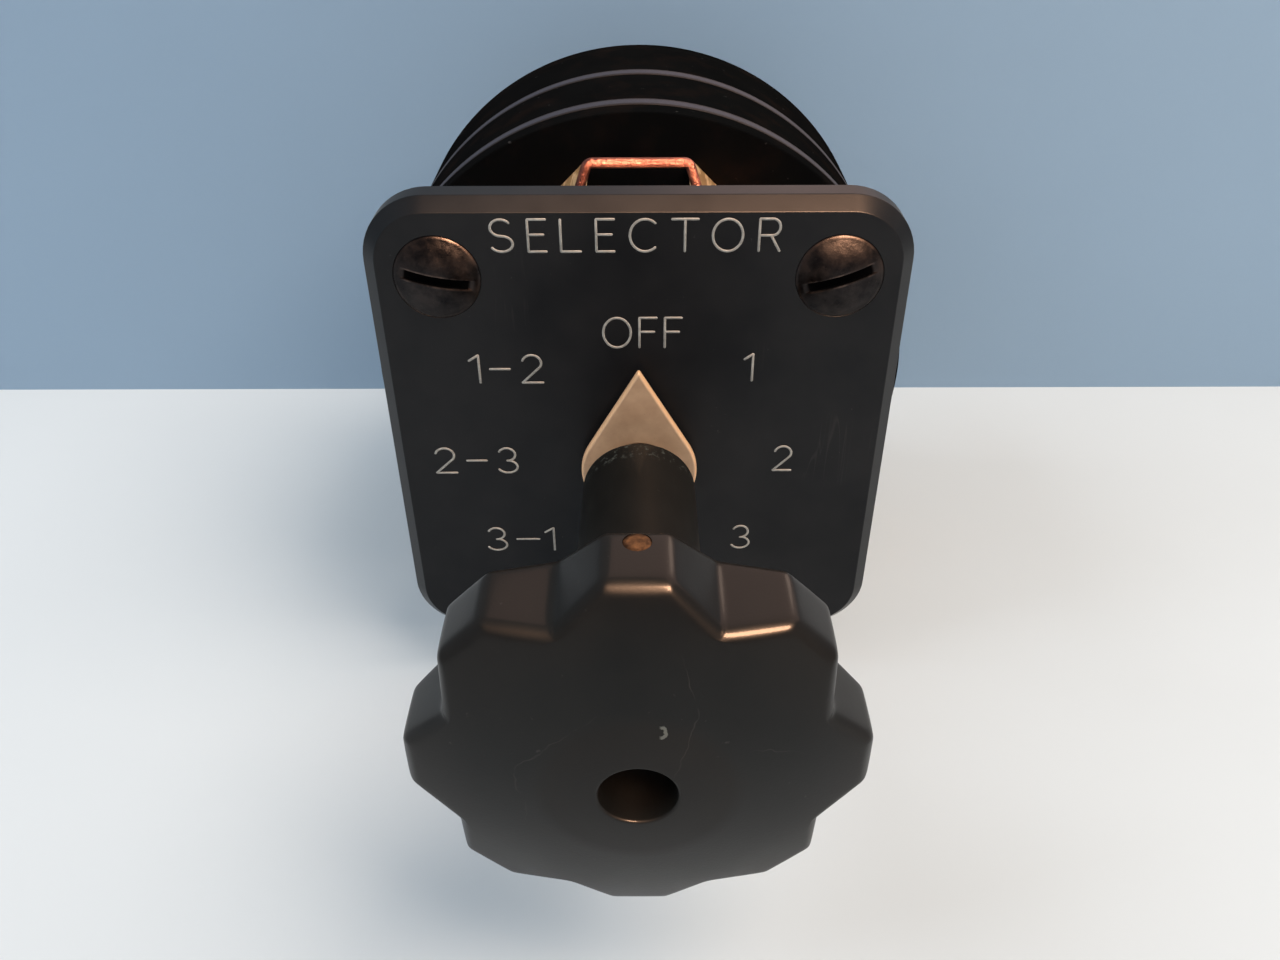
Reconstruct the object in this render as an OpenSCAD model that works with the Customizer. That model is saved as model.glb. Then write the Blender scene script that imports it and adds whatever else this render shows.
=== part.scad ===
// Rotary instrument transfer switch for a panel, seven positions, two contact stages.
// The shaft lies along Y. The origin is on the shaft's axis, in the plane where
// the escutcheon plate lies on the panel. +Z is up and the knob faces -Y.

/* [Escutcheon] */
// Width of the escutcheon plate
plate_w = 62; // [60:0.5:68]
// Reach of the plate above the shaft
plate_top = 33.9; // [32.5:0.1:38]
// Reach of the plate below the shaft
plate_bottom = 28.9; // [27:0.1:34]
// Thickness of the plate behind its bevel
plate_edge = 2.8; // [2.2:0.1:4]
// Width and depth of the bevel round the plate's front
plate_bevel = 1.5; // [0.8:0.1:2]
// Corner radius of the plate
plate_corner = 7.6; // [5:0.1:9]

/* [Panel mounting] */
// Thickness of the panel between the escutcheon and the mounting plate
panel_gap = 4.8; // [3:0.1:8]
// Spacing of the two upper mounting screws
screw_spacing = 45.2; // [44:0.1:46.5]
// Height of the upper mounting screws above the shaft
screw_high = 24.9; // [24.5:0.1:26]
// Depth of the lower mounting screw below the shaft
screw_low = 19.9; // [19:0.1:21.5]
// Radius of a mounting screw where it crosses the panel
screw_r = 2.4; // [2:0.1:2.6]
// Radius of a mounting screw's oval head
screw_head_r = 4.9; // [4.2:0.1:5.4]
// Height of the oval head over the plate
screw_dome = 1.3; // [0.8:0.1:1.8]
// Length of thread that shows behind the mounting plate
screw_tail = 3; // [1:0.1:4]
// Thickness of the mounting plate
mount_t = 2; // [1.9:0.1:3]
// Width of the mounting plate
mount_w = 60.6; // [59.6:0.2:61]
// Reach of the mounting plate above the shaft
mount_top = 30.6; // [30:0.1:31.5]
// Reach of the mounting plate below the shaft
mount_bottom = 25.4; // [24.5:0.1:27]
// Corner radius of the mounting plate
mount_corner = 5; // [3:0.1:6]

/* [Body stack] */
// Outer radius of the round body
body_r = 37.05; // [36.5:0.05:39]
// Length of the detent space behind the mounting plate
detent_len = 11.1; // [10.9:0.1:14]
// Thickness of the front support
support_t = 3; // [2.5:0.1:5]
// Thickness of a barrier disc
disc_t = 2.6; // [1.5:0.1:4]
// Length of a contact barrel
barrel_len = 12.2; // [12:0.1:16]
// Thickness of the rear plate
rear_t = 2.8; // [2.5:0.1:5]
// Radius of the hollow in a contact barrel
cavity_r = 25.5; // [25:0.1:26.5]
// Radius of the rotor's way through the support and the discs
way_r = 6.5; // [6:0.1:9]

/* [Tie bolts] */
// Radius of the circle of tie bolts
bolt_circle = 31; // [30.6:0.1:31.5]
// Angle of a tie bolt above the horizontal
bolt_angle = 32; // [31:0.5:33]
// Radius of a tie bolt
bolt_r = 2; // [1.6:0.1:2.2]
// Radial clearance of a tie bolt in the stack
bolt_gap = 0.1; // [0.05:0.05:0.3]
// Radius of a tie bolt's countersunk head
bolt_head_r = 3.4; // [3.2:0.1:3.6]
// Radius of a spacer post
post_r = 3.5; // [3:0.1:3.8]
// Thickness of a lock washer
washer_t = 1; // [0.6:0.1:1.5]
// Thickness of a nut
nut_t = 3.2; // [2.4:0.1:4]
// Radius of a nut over its corners
nut_r = 4.05; // [3.7:0.05:4.4]
// Length of bolt that shows behind a nut
bolt_tail = 1.5; // [0.5:0.1:3]

/* [Shaft and bearings] */
// Radius of the round front of the shaft
shaft_r = 3.17; // [2.9:0.01:3.3]
// Width of the shaft's square stretch over its flats
shaft_square = 6.3; // [6:0.1:7]
// Radius of the rear journal
journal_r = 2.5; // [2.2:0.05:2.9]
// Radial clearance of a journal in its bearing
running_gap = 0.05; // [0.02:0.01:0.08]
// End play of the shaft between its bearings, each way
end_play = 0.3; // [0.1:0.05:0.5]
// Outer radius of the front bushing's sleeve
bush_r = 4.75; // [4.5:0.05:5]
// Radius of the front bushing's flange
bush_flange_r = 8; // [6.5:0.1:9]
// Thickness of a bushing's flange
flange_t = 0.6; // [0.5:0.1:0.9]
// Outer radius of the rear bushing's sleeve
rear_bush_r = 4; // [3.6:0.1:4.5]
// Radius of the rear bushing's flange
rear_flange_r = 5.6; // [5:0.1:7]
// Radius of the hole round the shaft in the escutcheon
plate_hole_r = 5.4; // [5.1:0.1:6]
// Outer radius of the thrust washer and the retaining ring
ring_r = 4.4; // [4:0.1:5]
// Thickness of the retaining ring
ring_t = 0.8; // [0.6:0.1:1]
// Depth of the retaining ring's groove
groove_in = 0.4; // [0.3:0.05:0.5]

/* [Knob and pointer] */
// Reach of the knob's face in front of the escutcheon
knob_reach = 51.45; // [46:0.05:60]
// Distance from the knob's middle to a lobe's crest
lobe_r = 20.8; // [19:0.1:23]
// Width of a lobe's crest
lobe_w = 5.5; // [4:0.1:7]
// Radius of the valleys between the lobes
valley_r = 17.9; // [16.5:0.1:18.5]
// Radius of the knob's crowned face
crown_r = 60; // [45:1:90]
// Length of a lobe's crest along the shaft
crest_len = 6.9; // [5:0.1:10]
// Radius of the rounded edge between face and crest
rim_round = 1.1; // [0.6:0.1:1.6]
// Slope of the knob's back
back_angle = 27; // [15:1:35]
// Radius of the bell between the knob's back and its hub
bell_r = 7; // [5:0.1:8]
// Radius of the hub where it leaves the bell
hub_r = 6.9; // [6.5:0.05:7.5]
// Radius of the hub at its rear end
hub_end_r = 6.75; // [6.4:0.05:6.9]
// Gap between the hub's rear end and the escutcheon
hub_lift = 6.3; // [5:0.1:8]
// Radius of the hub's neck
neck_r = 4.3; // [4.1:0.1:5]
// Radius of the spigot that carries the pointer
spigot_r = 4.0; // [3.8:0.1:4.2]
// Gap between the pointer and the escutcheon
pointer_lift = 1.3; // [0.8:0.1:2]
// Thickness of the pointer
pointer_t = 1.2; // [0.8:0.1:1.8]
// Radius of the pointer's round end
pointer_r = 7.15; // [6.8:0.05:8]
// Distance from the shaft to the pointer's tip
pointer_tip = 14.15; // [12:0.05:15]
// Radius of the hole in the knob's face
face_hole_r = 3.44; // [3.4:0.02:4]
// Depth of the hole in the knob's face
face_hole_depth = 6.85; // [5:0.05:7]
// Radius of the knob's set pin
pin_r = 1.2; // [0.9:0.1:1.4]
// Distance of the set pin in front of the crest's rear edge
pin_back = 1.6; // [1.5:0.1:2.5]
// Depth of the set pin in the shaft
pin_bite = 0.7; // [0.4:0.1:1]
// Clearance between the knob's bore and the shaft
knob_gap = 0.03; // [0.01:0.01:0.05]

/* [Detent] */
// Number of notches round the star wheel
notches = 8; // [8]
// Radius of the star wheel's tips
star_tip_r = 14.6; // [13.5:0.1:14.8]
// Radius of the star wheel's notches
star_valley_r = 12.4; // [11.8:0.1:12.8]
// Thickness of the star wheel
star_t = 4; // [3.5:0.1:4.2]
// Width of a star tip's flat
star_flat = 1; // [0.6:0.1:1.6]
// Height of the spring's top bar above the shaft
spring_top = 33.2; // [32.5:0.1:34]
// Half of the width of the spring's top bar
spring_half = 6.1; // [5.8:0.1:7]
// Half of the spread of the spring's arms at the shaft's height
spring_spread = 16.9; // [16.6:0.1:18]
// Radius of the spring's wire
wire_r = 0.62; // [0.5:0.02:0.7]
// Half of the length of the nose pressed in an arm
nose_half = 3.4; // [3:0.1:4]
// Gap between a nose and its notch at rest
nose_gap = 0.3; // [0.2:0.05:0.4]
// Length of an arm below its nose
arm_tail = 2.6; // [1.5:0.1:4]
// Radius of the pegs that the spring hangs on
peg_r = 1.6; // [1.3:0.1:1.8]
// Drop of the pegs below the top bar
peg_drop = 7.2; // [5:0.1:8]
// Clearance between a peg and its arm
peg_gap = 0.05; // [0.02:0.01:0.1]
// Height of the keeper straps' upper ends above the shaft
keeper_top = 30.65; // [30:0.05:31.5]
// Place of the keeper straps' upper ends to either side
keeper_half = 7; // [6.5:0.1:8]
// Thickness of the keeper straps
keeper_t = 1.05; // [0.8:0.05:1.2]
// Width of the keeper straps
keeper_w = 6.9; // [5:0.1:7]
// Drop of the keeper straps
keeper_drop = 7.75; // [7:0.05:9]
// Width of a keeper foot
foot_w = 6; // [5:0.1:6.5]
// Height of a keeper foot
foot_h = 5.6; // [5:0.1:6.5]
// Radius of a keeper screw
keeper_screw_r = 1.5; // [1.2:0.1:1.7]
// Radius of the stop pins
stop_pin_r = 1.8; // [1.5:0.1:2]
// Radius of the circle of stop pins
stop_circle = 11.5; // [11:0.1:12]
// Turn of the knob from OFF to either end
turn_limit = 135; // [135]
// Gap between the stop arm and a stop pin at either end
stop_gap = 0.3; // [0.2:0.05:0.5]
// Width of the stop arm
stop_arm_w = 5; // [4:0.1:5.5]
// Reach of the stop arm
stop_arm_r = 13.6; // [13:0.1:14.5]
// Thickness of the stop arm
stop_arm_t = 3; // [2.5:0.1:3.3]
// Radius of the hubs on the rotor stack
stack_hub_r = 5.6; // [5.2:0.1:5.8]

/* [Contacts] */
// Radius of a stage rotor
rotor_r = 15; // [14:0.1:15.2]
// Length of a stage rotor
rotor_len = 9; // [7.5:0.1:9.4]
// Angle that a rotor segment covers
segment_angle = 64; // [50:1:76]
// Thickness of a rotor segment
segment_t = 1.5; // [1:0.1:2]
// Length of a rotor segment
segment_len = 6.2; // [5.2:0.1:7]
// Gap between a contact tip and the rotor
contact_gap = 0.3; // [0.2:0.05:0.4]
// Angle of a contact tip above the horizontal
tip_angle = 20; // [18:0.5:22]
// Radius of a contact tip
tip_r = 1.1; // [0.8:0.05:1.2]
// Width of a contact finger and its terminal strip
finger_w = 5; // [4:0.1:5.2]
// Thickness of a contact finger
finger_t = 0.5; // [0.4:0.05:0.6]
// Thickness of a terminal strip
strip_t = 1; // [0.8:0.1:1.2]
// Height of a terminal strip's inner face above the middle
strip_low = 6.4; // [6.2:0.1:6.6]
// Distance from the middle to a terminal strip's inner end
strip_in = 20.7; // [20.4:0.1:21]
// Distance from the middle to the floor of a terminal pocket
pocket_x = 30.4; // [30:0.1:30.8]
// Distance of a pocket's inner wall from the middle
pocket_low = 4.4; // [4:0.1:5]
// Distance of a pocket's outer wall from the middle
pocket_high = 15.2; // [15:0.1:15.6]
// Width of a pocket along the shaft
pocket_w = 8.4; // [8.2:0.1:9]
// Height of a terminal screw above the middle
terminal_z = 10.6; // [10.4:0.1:10.8]
// Width of a terminal's tab along the shaft
tab_w = 6.4; // [6:0.1:7]
// Reach of a terminal's tab above its screw
tab_reach = 3.4; // [3:0.1:3.8]
// Radius of a terminal screw
terminal_r = 1.5; // [1.2:0.1:1.7]
// Radius of a terminal screw's head
terminal_head_r = 2.9; // [2.5:0.1:3]
// Height of a terminal screw's head
terminal_head_h = 2; // [1.5:0.1:2.2]
// Length of a terminal screw under its head
terminal_len = 6; // [4:0.1:6.4]
// Thickness of a terminal clamp
clamp_t = 0.8; // [0.6:0.1:1]
// Radius of a finger rivet
rivet_r = 0.8; // [0.6:0.05:0.9]
// Height of a finger rivet's heads
rivet_head = 0.5; // [0.4:0.05:0.6]
// Share of a head's radius that a screw slot is wide
slot_share = 0.26; // [0.2:0.01:0.32]

/* [Hidden] */
$fn = 64;

// A little more than a face, for cutting clean through it
over = 1;

// Places along the shaft, front to rear
y_face = -(plate_edge + plate_bevel);
y_mount = panel_gap;
y_detent = y_mount + mount_t;
y_support = y_detent + detent_len;
y_stack = y_support + support_t;
stage_pitch = disc_t + barrel_len;
y_rear = y_stack + 2 * stage_pitch;
y_back = y_rear + rear_t;
y_bolt_end = y_back + washer_t + nut_t + bolt_tail;
function y_disc(n) = y_stack + (n - 1) * stage_pitch;
function y_barrel(n) = y_disc(n) + disc_t;
function y_middle(n) = y_barrel(n) + barrel_len / 2;

// The rotor's places
star_front_gap = 0.1;
stop_rear_gap = 1.5;
journal_lead = 0.6;
thrust_t = 0.4;
shaft_tail = 1.2;
y_shoulder = y_detent + flange_t + end_play;
y_star = y_shoulder + star_front_gap;
y_stop = y_support - stop_arm_t - stop_rear_gap;
y_journal = y_rear - journal_lead;
y_thrust = y_back + flange_t + end_play;
y_ring = y_thrust + thrust_t;
y_shaft_end = y_ring + ring_t + shaft_tail;

// The knob's places
y_knob = y_face - knob_reach;
y_shaft_front = y_knob + face_hole_depth;
crown_drop = crown_r - sqrt(crown_r * crown_r - lobe_r * lobe_r);
y_crest_back = y_knob + crown_drop + crest_len;
y_pin = y_crest_back - pin_back;
y_hub_end = y_face - hub_lift;
y_pointer_back = y_face - pointer_lift;
y_pointer = y_pointer_back - pointer_t;
knob_bore_r = shaft_r + knob_gap;
pin_sink = 0.1;
bell_steps = 6;
rim_steps = 4;

// Screw heads
screw_cone_angle = 41;
screw_step = 0.25;
screw_neck_r = screw_r + screw_step;
screw_thread_r = screw_r - screw_step;
screw_cone = (screw_head_r - screw_neck_r) / tan(screw_cone_angle);
dome_r = (pow(screw_head_r, 2) + pow(screw_dome, 2)) / (2 * screw_dome);
slot_depth = 0.9;
screw_clear = 0.1;
upper_turns = [11, -18];
lower_turn = 62;
bolt_cone = bolt_head_r - bolt_r;
bolt_slot_depth = 0.9;

// The stack's fastening places
bolt_x = bolt_circle * cos(bolt_angle);
bolt_z = bolt_circle * sin(bolt_angle);
bolt_places = [for (x = [-bolt_x, bolt_x]) for (z = [-bolt_z, bolt_z]) [x, z]];
screw_places = [[-screw_spacing / 2, screw_high], [screw_spacing / 2, screw_high], [0, -screw_low]];
screw_turns = [upper_turns[0], upper_turns[1], lower_turn];

// The detent spring's wire, by its middle line
arm_slope = (spring_spread - spring_half) / spring_top;
arm_stretch = sqrt(1 + arm_slope * arm_slope);
function arm_x(z) = spring_half + (spring_top - z) * arm_slope;
nose_x = star_valley_r + nose_gap + wire_r;
y_spring = y_star + star_t / 2;
spring_side = [
    [spring_half, spring_top], [arm_x(nose_half), nose_half], [nose_x, 0],
    [arm_x(-nose_half), -nose_half], [arm_x(-nose_half - arm_tail), -nose_half - arm_tail]
];
peg_z = spring_top - peg_drop;
peg_x = arm_x(peg_z) - (wire_r + peg_r + peg_gap) * arm_stretch;
peg_over = 0.4;
peg_places = [[-peg_x, peg_z], [peg_x, peg_z]];

// One keeper strap, and its foot on the front support
keeper_side = [
    [keeper_half, keeper_top], [keeper_half + keeper_drop, keeper_top - keeper_drop]
];
foot_x = keeper_half + keeper_drop - keeper_t;
foot_z = keeper_top - keeper_drop - foot_h + keeper_t;
foot_shift = 0.4;
keeper_screw_x = foot_x + foot_w / 2 + foot_shift;
keeper_screw_z = foot_z + foot_h / 2;
keeper_screw_places = [[-keeper_screw_x, keeper_screw_z], [keeper_screw_x, keeper_screw_z]];
keeper_head_r = 2.3;
keeper_head_h = 1.4;

// The stops, placed where the arm meets them at either end
stop_lead = asin((stop_arm_w / 2 + stop_pin_r + stop_gap) / stop_circle);
stop_angle = 180 - turn_limit - stop_lead;
stop_places = [for (s = [-1, 1]) stop_circle * [s * sin(stop_angle), cos(stop_angle)]];
stop_pin_front = y_stop - 0.5;

// The contact finger: along its strip, then down across the rotor's rim
rim_to_finger = rotor_r + contact_gap + tip_r;
finger_mid = rim_to_finger + finger_t / 2;
tip_half = tip_r + 0.6;
strip_high = strip_low + strip_t;
finger_z = strip_high + finger_t / 2;
finger_out = 24;
finger_knee = 2.65;
function turned(r, t) = [
    r * cos(tip_angle) - t * sin(tip_angle),
    r * sin(tip_angle) + t * cos(tip_angle)
];
finger_path = [
    [finger_out, finger_z], [finger_mid + finger_knee - 1, finger_z],
    turned(finger_mid, tip_half), turned(finger_mid, -tip_half)
];
rivet_x = (strip_in + finger_out) / 2;
rivet_head_r = rivet_r + 0.6;
tab_x = pocket_x + strip_t;
terminal_hole_r = terminal_r + 0.2;
terminal_sink = 0.4;

plastic_black = [0.05, 0.05, 0.05];
enamel_black = [0.08, 0.08, 0.085];
dark_steel = [0.2, 0.19, 0.18];
zinc_yellow = [0.72, 0.6, 0.35];
zinc = [0.7, 0.7, 0.72];
bronze = [0.78, 0.5, 0.4];
brass = [0.8, 0.65, 0.35];
silver = [0.85, 0.85, 0.86];
fibre_grey = [0.45, 0.45, 0.46];
ivory = [0.78, 0.68, 0.55];
phenolic_brown = [0.28, 0.16, 0.1];

// Unit normal on the left of the way from a to b
function side_of(a, b) = let (d = b - a) [-d[1], d[0]] / norm(d);

// A point of a bent strip, moved sideways by d so that the strip keeps its thickness
function mitre(p, i, d) =
    i == 0 ? p[0] + d * side_of(p[0], p[1]) :
    i == len(p) - 1 ? p[i] + d * side_of(p[i - 1], p[i]) :
    let (a = side_of(p[i - 1], p[i]), b = side_of(p[i], p[i + 1]))
    p[i] + d * (a + b) / (1 + a * b);

function shifted(p, d) = [for (i = [0 : len(p) - 1]) mitre(p, i, d)];
function reversed(p) = [for (i = [len(p) - 1 : -1 : 0]) p[i]];
function mirrored(p) = [for (q = reversed(p)) [-q[0], q[1]]];

// A round wire that follows points of the plane at y
module wire(points, y) {
    for (i = [1 : len(points) - 1]) {
        from = points[i - 1];
        step = points[i] - from;
        translate([from[0], y, from[1]]) rotate([0, atan2(step[0], step[1]), 0])
            cylinder(r = wire_r, h = norm(step));
    }
    for (p = points) translate([p[0], y, p[1]]) sphere(r = wire_r);
}

// A bent strip seen from the front, its two faces at distances d1 and d2 from the path
module strip_shape(p, d1, d2) {
    polygon(concat(shifted(p, d1), reversed(shifted(p, d2))));
}

// A flat shape, drawn as seen from the front, filling the way from y0 back to y1
module slab(y0, y1) {
    translate([0, y1, 0]) rotate([90, 0, 0]) linear_extrude(y1 - y0) children();
}

// A round bar along the shaft's direction
module rod(r, y0, y1, at = [0, 0]) {
    translate([at[0], y1, at[1]]) rotate([90, 0, 0]) cylinder(r = r, h = y1 - y0);
}

// A cone along the shaft's direction, with radius r0 at y0 and r1 at y1
module cone(r0, r1, y0, y1, at = [0, 0]) {
    translate([at[0], y1, at[1]]) rotate([90, 0, 0]) cylinder(r1 = r1, r2 = r0, h = y1 - y0);
}

// A shape turned round the shaft, from points of radius and place along the shaft
module turned_shape(points) {
    rotate([-90, 0, 0]) rotate_extrude($fn = 96) polygon(points);
}

// A rectangle with round corners between two opposite corners
module round_rectangle(x0, x1, z0, z1, r) {
    translate([x0 + r, z0]) square([x1 - x0 - 2 * r, z1 - z0]);
    translate([x0, z0 + r]) square([x1 - x0, z1 - z0 - 2 * r]);
    for (x = [x0 + r, x1 - r]) for (z = [z0 + r, z1 - r]) translate([x, z]) circle(r);
}

// The bevelled front of the escutcheon: a cone on each corner and a sloped bar on each side
module bevelled_front() {
    x_in = plate_w / 2 - plate_corner;
    z_up = plate_top - plate_corner;
    z_down = -plate_bottom + plate_corner;
    corner_front = plate_corner - plate_bevel;
    for (x = [-x_in, x_in]) for (z = [z_down, z_up])
        cone(corner_front, plate_corner, y_face, -plate_edge, [x, z]);
    translate([-x_in, 0, 0]) rotate([90, 0, 90]) linear_extrude(2 * x_in) polygon([
        [-plate_edge, -plate_bottom], [-plate_edge, plate_top],
        [y_face, plate_top - plate_bevel], [y_face, -plate_bottom + plate_bevel]
    ]);
    translate([0, 0, z_down]) linear_extrude(z_up - z_down) polygon([
        [-plate_w / 2, -plate_edge], [plate_w / 2, -plate_edge],
        [plate_w / 2 - plate_bevel, y_face], [-plate_w / 2 + plate_bevel, y_face]
    ]);
}

module escutcheon_plate() {
    color(enamel_black) difference() {
        union() {
            slab(-plate_edge, 0)
                round_rectangle(-plate_w / 2, plate_w / 2, -plate_bottom, plate_top, plate_corner);
            bevelled_front();
        }
        rod(plate_hole_r, y_face - over, over);
        for (at = screw_places) {
            rod(screw_neck_r + screw_clear, y_face - over, over, at);
            cone(screw_head_r, screw_neck_r, y_face, y_face + screw_cone, at);
        }
    }
}

// One oval-head screw, its slot turned by the given angle
module mounting_screw(at, turn) {
    difference() {
        union() {
            intersection() {
                translate([at[0], y_face - screw_dome + dome_r, at[1]]) sphere(r = dome_r, $fn = 96);
                rod(screw_head_r, y_face - screw_dome - over, y_face, at);
            }
            cone(screw_head_r, screw_neck_r, y_face, y_face + screw_cone, at);
            rod(screw_neck_r, y_face + screw_cone, 0, at);
            rod(screw_r, 0, y_mount, at);
            rod(screw_thread_r, y_mount, y_detent + screw_tail, at);
        }
        translate([at[0], y_face - screw_dome, at[1]]) rotate([0, turn, 0])
            cube([2 * screw_head_r + over, 2 * slot_depth, 2 * slot_share * screw_head_r / 2], center = true);
    }
}

module mounting_screws() {
    color(dark_steel) for (i = [0 : len(screw_places) - 1]) mounting_screw(screw_places[i], screw_turns[i]);
}

module mounting_plate() {
    color(zinc) difference() {
        slab(y_mount, y_detent)
            round_rectangle(-mount_w / 2, mount_w / 2, -mount_bottom, mount_top, mount_corner);
        rod(bush_r, y_mount - over, y_detent + over);
        for (at = screw_places) rod(screw_thread_r, y_mount - over, y_detent + over, at);
        for (at = bolt_places) {
            rod(bolt_r, y_mount - over, y_detent + over, at);
            cone(bolt_head_r, bolt_r, y_mount, y_mount + bolt_cone, at);
        }
    }
}

module spacer_posts() {
    color(zinc) for (at = bolt_places) difference() {
        rod(post_r, y_detent, y_support, at);
        rod(bolt_r + bolt_gap, y_detent - over, y_support + over, at);
    }
}

// A round wafer of the body, with the way of the rotor and the tie bolts through it
module wafer(y0, y1, hole_r) {
    difference() {
        rod(body_r, y0, y1, $fn = 128);
        rod(hole_r, y0 - over, y1 + over);
        for (at = bolt_places) rod(bolt_r + bolt_gap, y0 - over, y1 + over, at);
    }
}

module front_support() {
    color(plastic_black) difference() {
        wafer(y_support, y_stack, way_r);
        for (at = peg_places) rod(peg_r, y_support - over, y_stack + over, at);
        for (at = stop_places) rod(stop_pin_r, y_support - over, y_stack + over, at);
        for (at = keeper_screw_places) rod(keeper_screw_r, y_support - over, y_stack + over, at);
    }
}

module shaft_bushing() {
    color(brass) difference() {
        union() {
            rod(bush_r, y_face + over / 2, y_detent);
            rod(bush_flange_r, y_detent, y_detent + flange_t);
        }
        rod(shaft_r + running_gap, y_face, y_detent + flange_t + over);
    }
}

module detent_spring() {
    color(bronze) wire(concat(mirrored(spring_side), spring_side), y_spring, $fn = 20);
}

module spring_pegs() {
    color(dark_steel) for (at = peg_places) rod(peg_r, y_spring - wire_r - peg_over, y_stack, at);
}

module spring_keeper() {
    color(zinc_yellow) difference() {
        for (side = [0, 1]) mirror([side, 0, 0]) {
            slab(y_support - keeper_w, y_support) strip_shape(keeper_side, 0, -keeper_t);
            slab(y_support - keeper_t, y_support) translate([foot_x, foot_z]) square([foot_w, foot_h]);
        }
        for (at = keeper_screw_places) rod(keeper_screw_r, y_support - keeper_w - over, y_support + over, at);
    }
}

module keeper_screws() {
    head_front = y_support - keeper_t - keeper_head_h;
    color(zinc) for (at = keeper_screw_places) difference() {
        union() {
            rod(keeper_head_r, head_front, y_support - keeper_t, at);
            rod(keeper_screw_r, y_support - keeper_t, y_stack, at);
        }
        translate([at[0], head_front, at[1]]) rotate([0, lower_turn, 0])
            cube([2 * keeper_head_r + over, keeper_head_h, slot_share * keeper_head_r], center = true);
    }
}

module stop_pins() {
    color(dark_steel) for (at = stop_places) rod(stop_pin_r, stop_pin_front, y_stack, at);
}

module barrier_disc(n) {
    color(fibre_grey) wafer(y_disc(n), y_barrel(n), way_r);
}

// The four terminals of a stage are one shape, mirrored to each side and each half
module each_terminal(n) {
    translate([0, y_middle(n), 0])
        for (side = [0, 1]) for (half = [0, 1]) mirror([side, 0, 0]) mirror([0, 0, half]) children();
}

// A bar along X from x0 to x1
module bar_x(r, x0, x1, z) {
    translate([x0, 0, z]) rotate([0, 90, 0]) cylinder(r = r, h = x1 - x0, $fn = 48);
}

// A block from x0 to x1 and from z0 to z1, centred along the shaft
module block(x0, x1, w, z0, z1) {
    translate([x0, -w / 2, z0]) cube([x1 - x0, w, z1 - z0]);
}

module contact_barrel(n) {
    color(plastic_black) difference() {
        wafer(y_barrel(n), y_barrel(n) + barrel_len, cavity_r);
        each_terminal(n) {
            block(pocket_x, body_r + over, pocket_w, pocket_low, pocket_high);
            block(cavity_r - 2 * over, pocket_x + over, finger_w, strip_low, strip_high);
            bar_x(terminal_hole_r, tab_x + clamp_t - terminal_len - terminal_sink, pocket_x + over, terminal_z);
        }
    }
}

module terminals(n) {
    color(brass) each_terminal(n) difference() {
        union() {
            block(strip_in, pocket_x, finger_w, strip_low, strip_high);
            block(pocket_x, tab_x, tab_w, strip_low, terminal_z + tab_reach);
        }
        bar_x(terminal_r, pocket_x - over, tab_x + over, terminal_z);
        translate([rivet_x, 0, strip_low - over]) cylinder(r = rivet_r, h = strip_t + 2 * over, $fn = 32);
    }
}

module terminal_clamps(n) {
    color(zinc) each_terminal(n) difference() {
        block(tab_x, tab_x + clamp_t, tab_w, terminal_z - tab_reach, terminal_z + tab_reach);
        bar_x(terminal_r, tab_x - over, tab_x + clamp_t + over, terminal_z);
    }
}

module terminal_screws(n) {
    head_x = tab_x + clamp_t;
    color(zinc) each_terminal(n) difference() {
        union() {
            bar_x(terminal_r, head_x - terminal_len, head_x, terminal_z);
            bar_x(terminal_head_r, head_x, head_x + terminal_head_h, terminal_z);
        }
        translate([head_x + terminal_head_h, 0, terminal_z]) rotate([lower_turn, 0, 0])
            cube([terminal_head_h, 2 * terminal_head_r + over, slot_share * terminal_head_r], center = true);
    }
}

module contact_fingers(n) {
    color(bronze) each_terminal(n) difference() {
        translate([0, finger_w / 2, 0]) rotate([90, 0, 0]) linear_extrude(finger_w)
            strip_shape(finger_path, finger_t / 2, -finger_t / 2);
        translate([rivet_x, 0, strip_high - over]) cylinder(r = rivet_r, h = finger_t + 2 * over, $fn = 32);
    }
}

module finger_rivets(n) {
    top = strip_high + finger_t;
    color(brass) each_terminal(n) translate([rivet_x, 0, 0]) {
        translate([0, 0, strip_low - rivet_head]) cylinder(r = rivet_head_r, h = rivet_head, $fn = 32);
        translate([0, 0, strip_low]) cylinder(r = rivet_r, h = top - strip_low, $fn = 32);
        translate([0, 0, top]) cylinder(r = rivet_head_r, h = rivet_head, $fn = 32);
    }
}

// Half-round silver bars under the ends of the fingers
module contact_tips(n) {
    color(silver) each_terminal(n) rotate([0, -tip_angle, 0]) translate([rim_to_finger, 0, 0]) intersection() {
        rotate([90, 0, 0]) cylinder(r = tip_r, h = finger_w, center = true, $fn = 32);
        translate([-2 * tip_r, -finger_w, -2 * tip_r]) cube([2 * tip_r, 2 * finger_w, 4 * tip_r]);
    }
}

module rear_plate() {
    color(plastic_black) wafer(y_rear, y_back, rear_bush_r);
}

module rear_bushing() {
    color(brass) difference() {
        union() {
            rod(rear_bush_r, y_rear, y_back);
            rod(rear_flange_r, y_back, y_back + flange_t);
        }
        rod(journal_r + running_gap, y_rear - over, y_back + flange_t + over);
    }
}

module tie_bolts() {
    color(zinc) for (at = bolt_places) difference() {
        union() {
            cone(bolt_head_r, bolt_r, y_mount, y_mount + bolt_cone, at);
            rod(bolt_r, y_mount + bolt_cone, y_bolt_end, at);
        }
        translate([at[0], y_mount, at[1]]) rotate([0, lower_turn, 0])
            cube([2 * bolt_head_r + over, 2 * bolt_slot_depth, slot_share * bolt_head_r], center = true);
    }
}

module lock_washers() {
    washer_r = nut_r * cos(30);
    color(zinc) for (at = bolt_places) difference() {
        rod(washer_r, y_back, y_back + washer_t, at);
        rod(bolt_r, y_back - over, y_back + washer_t + over, at);
    }
}

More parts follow.
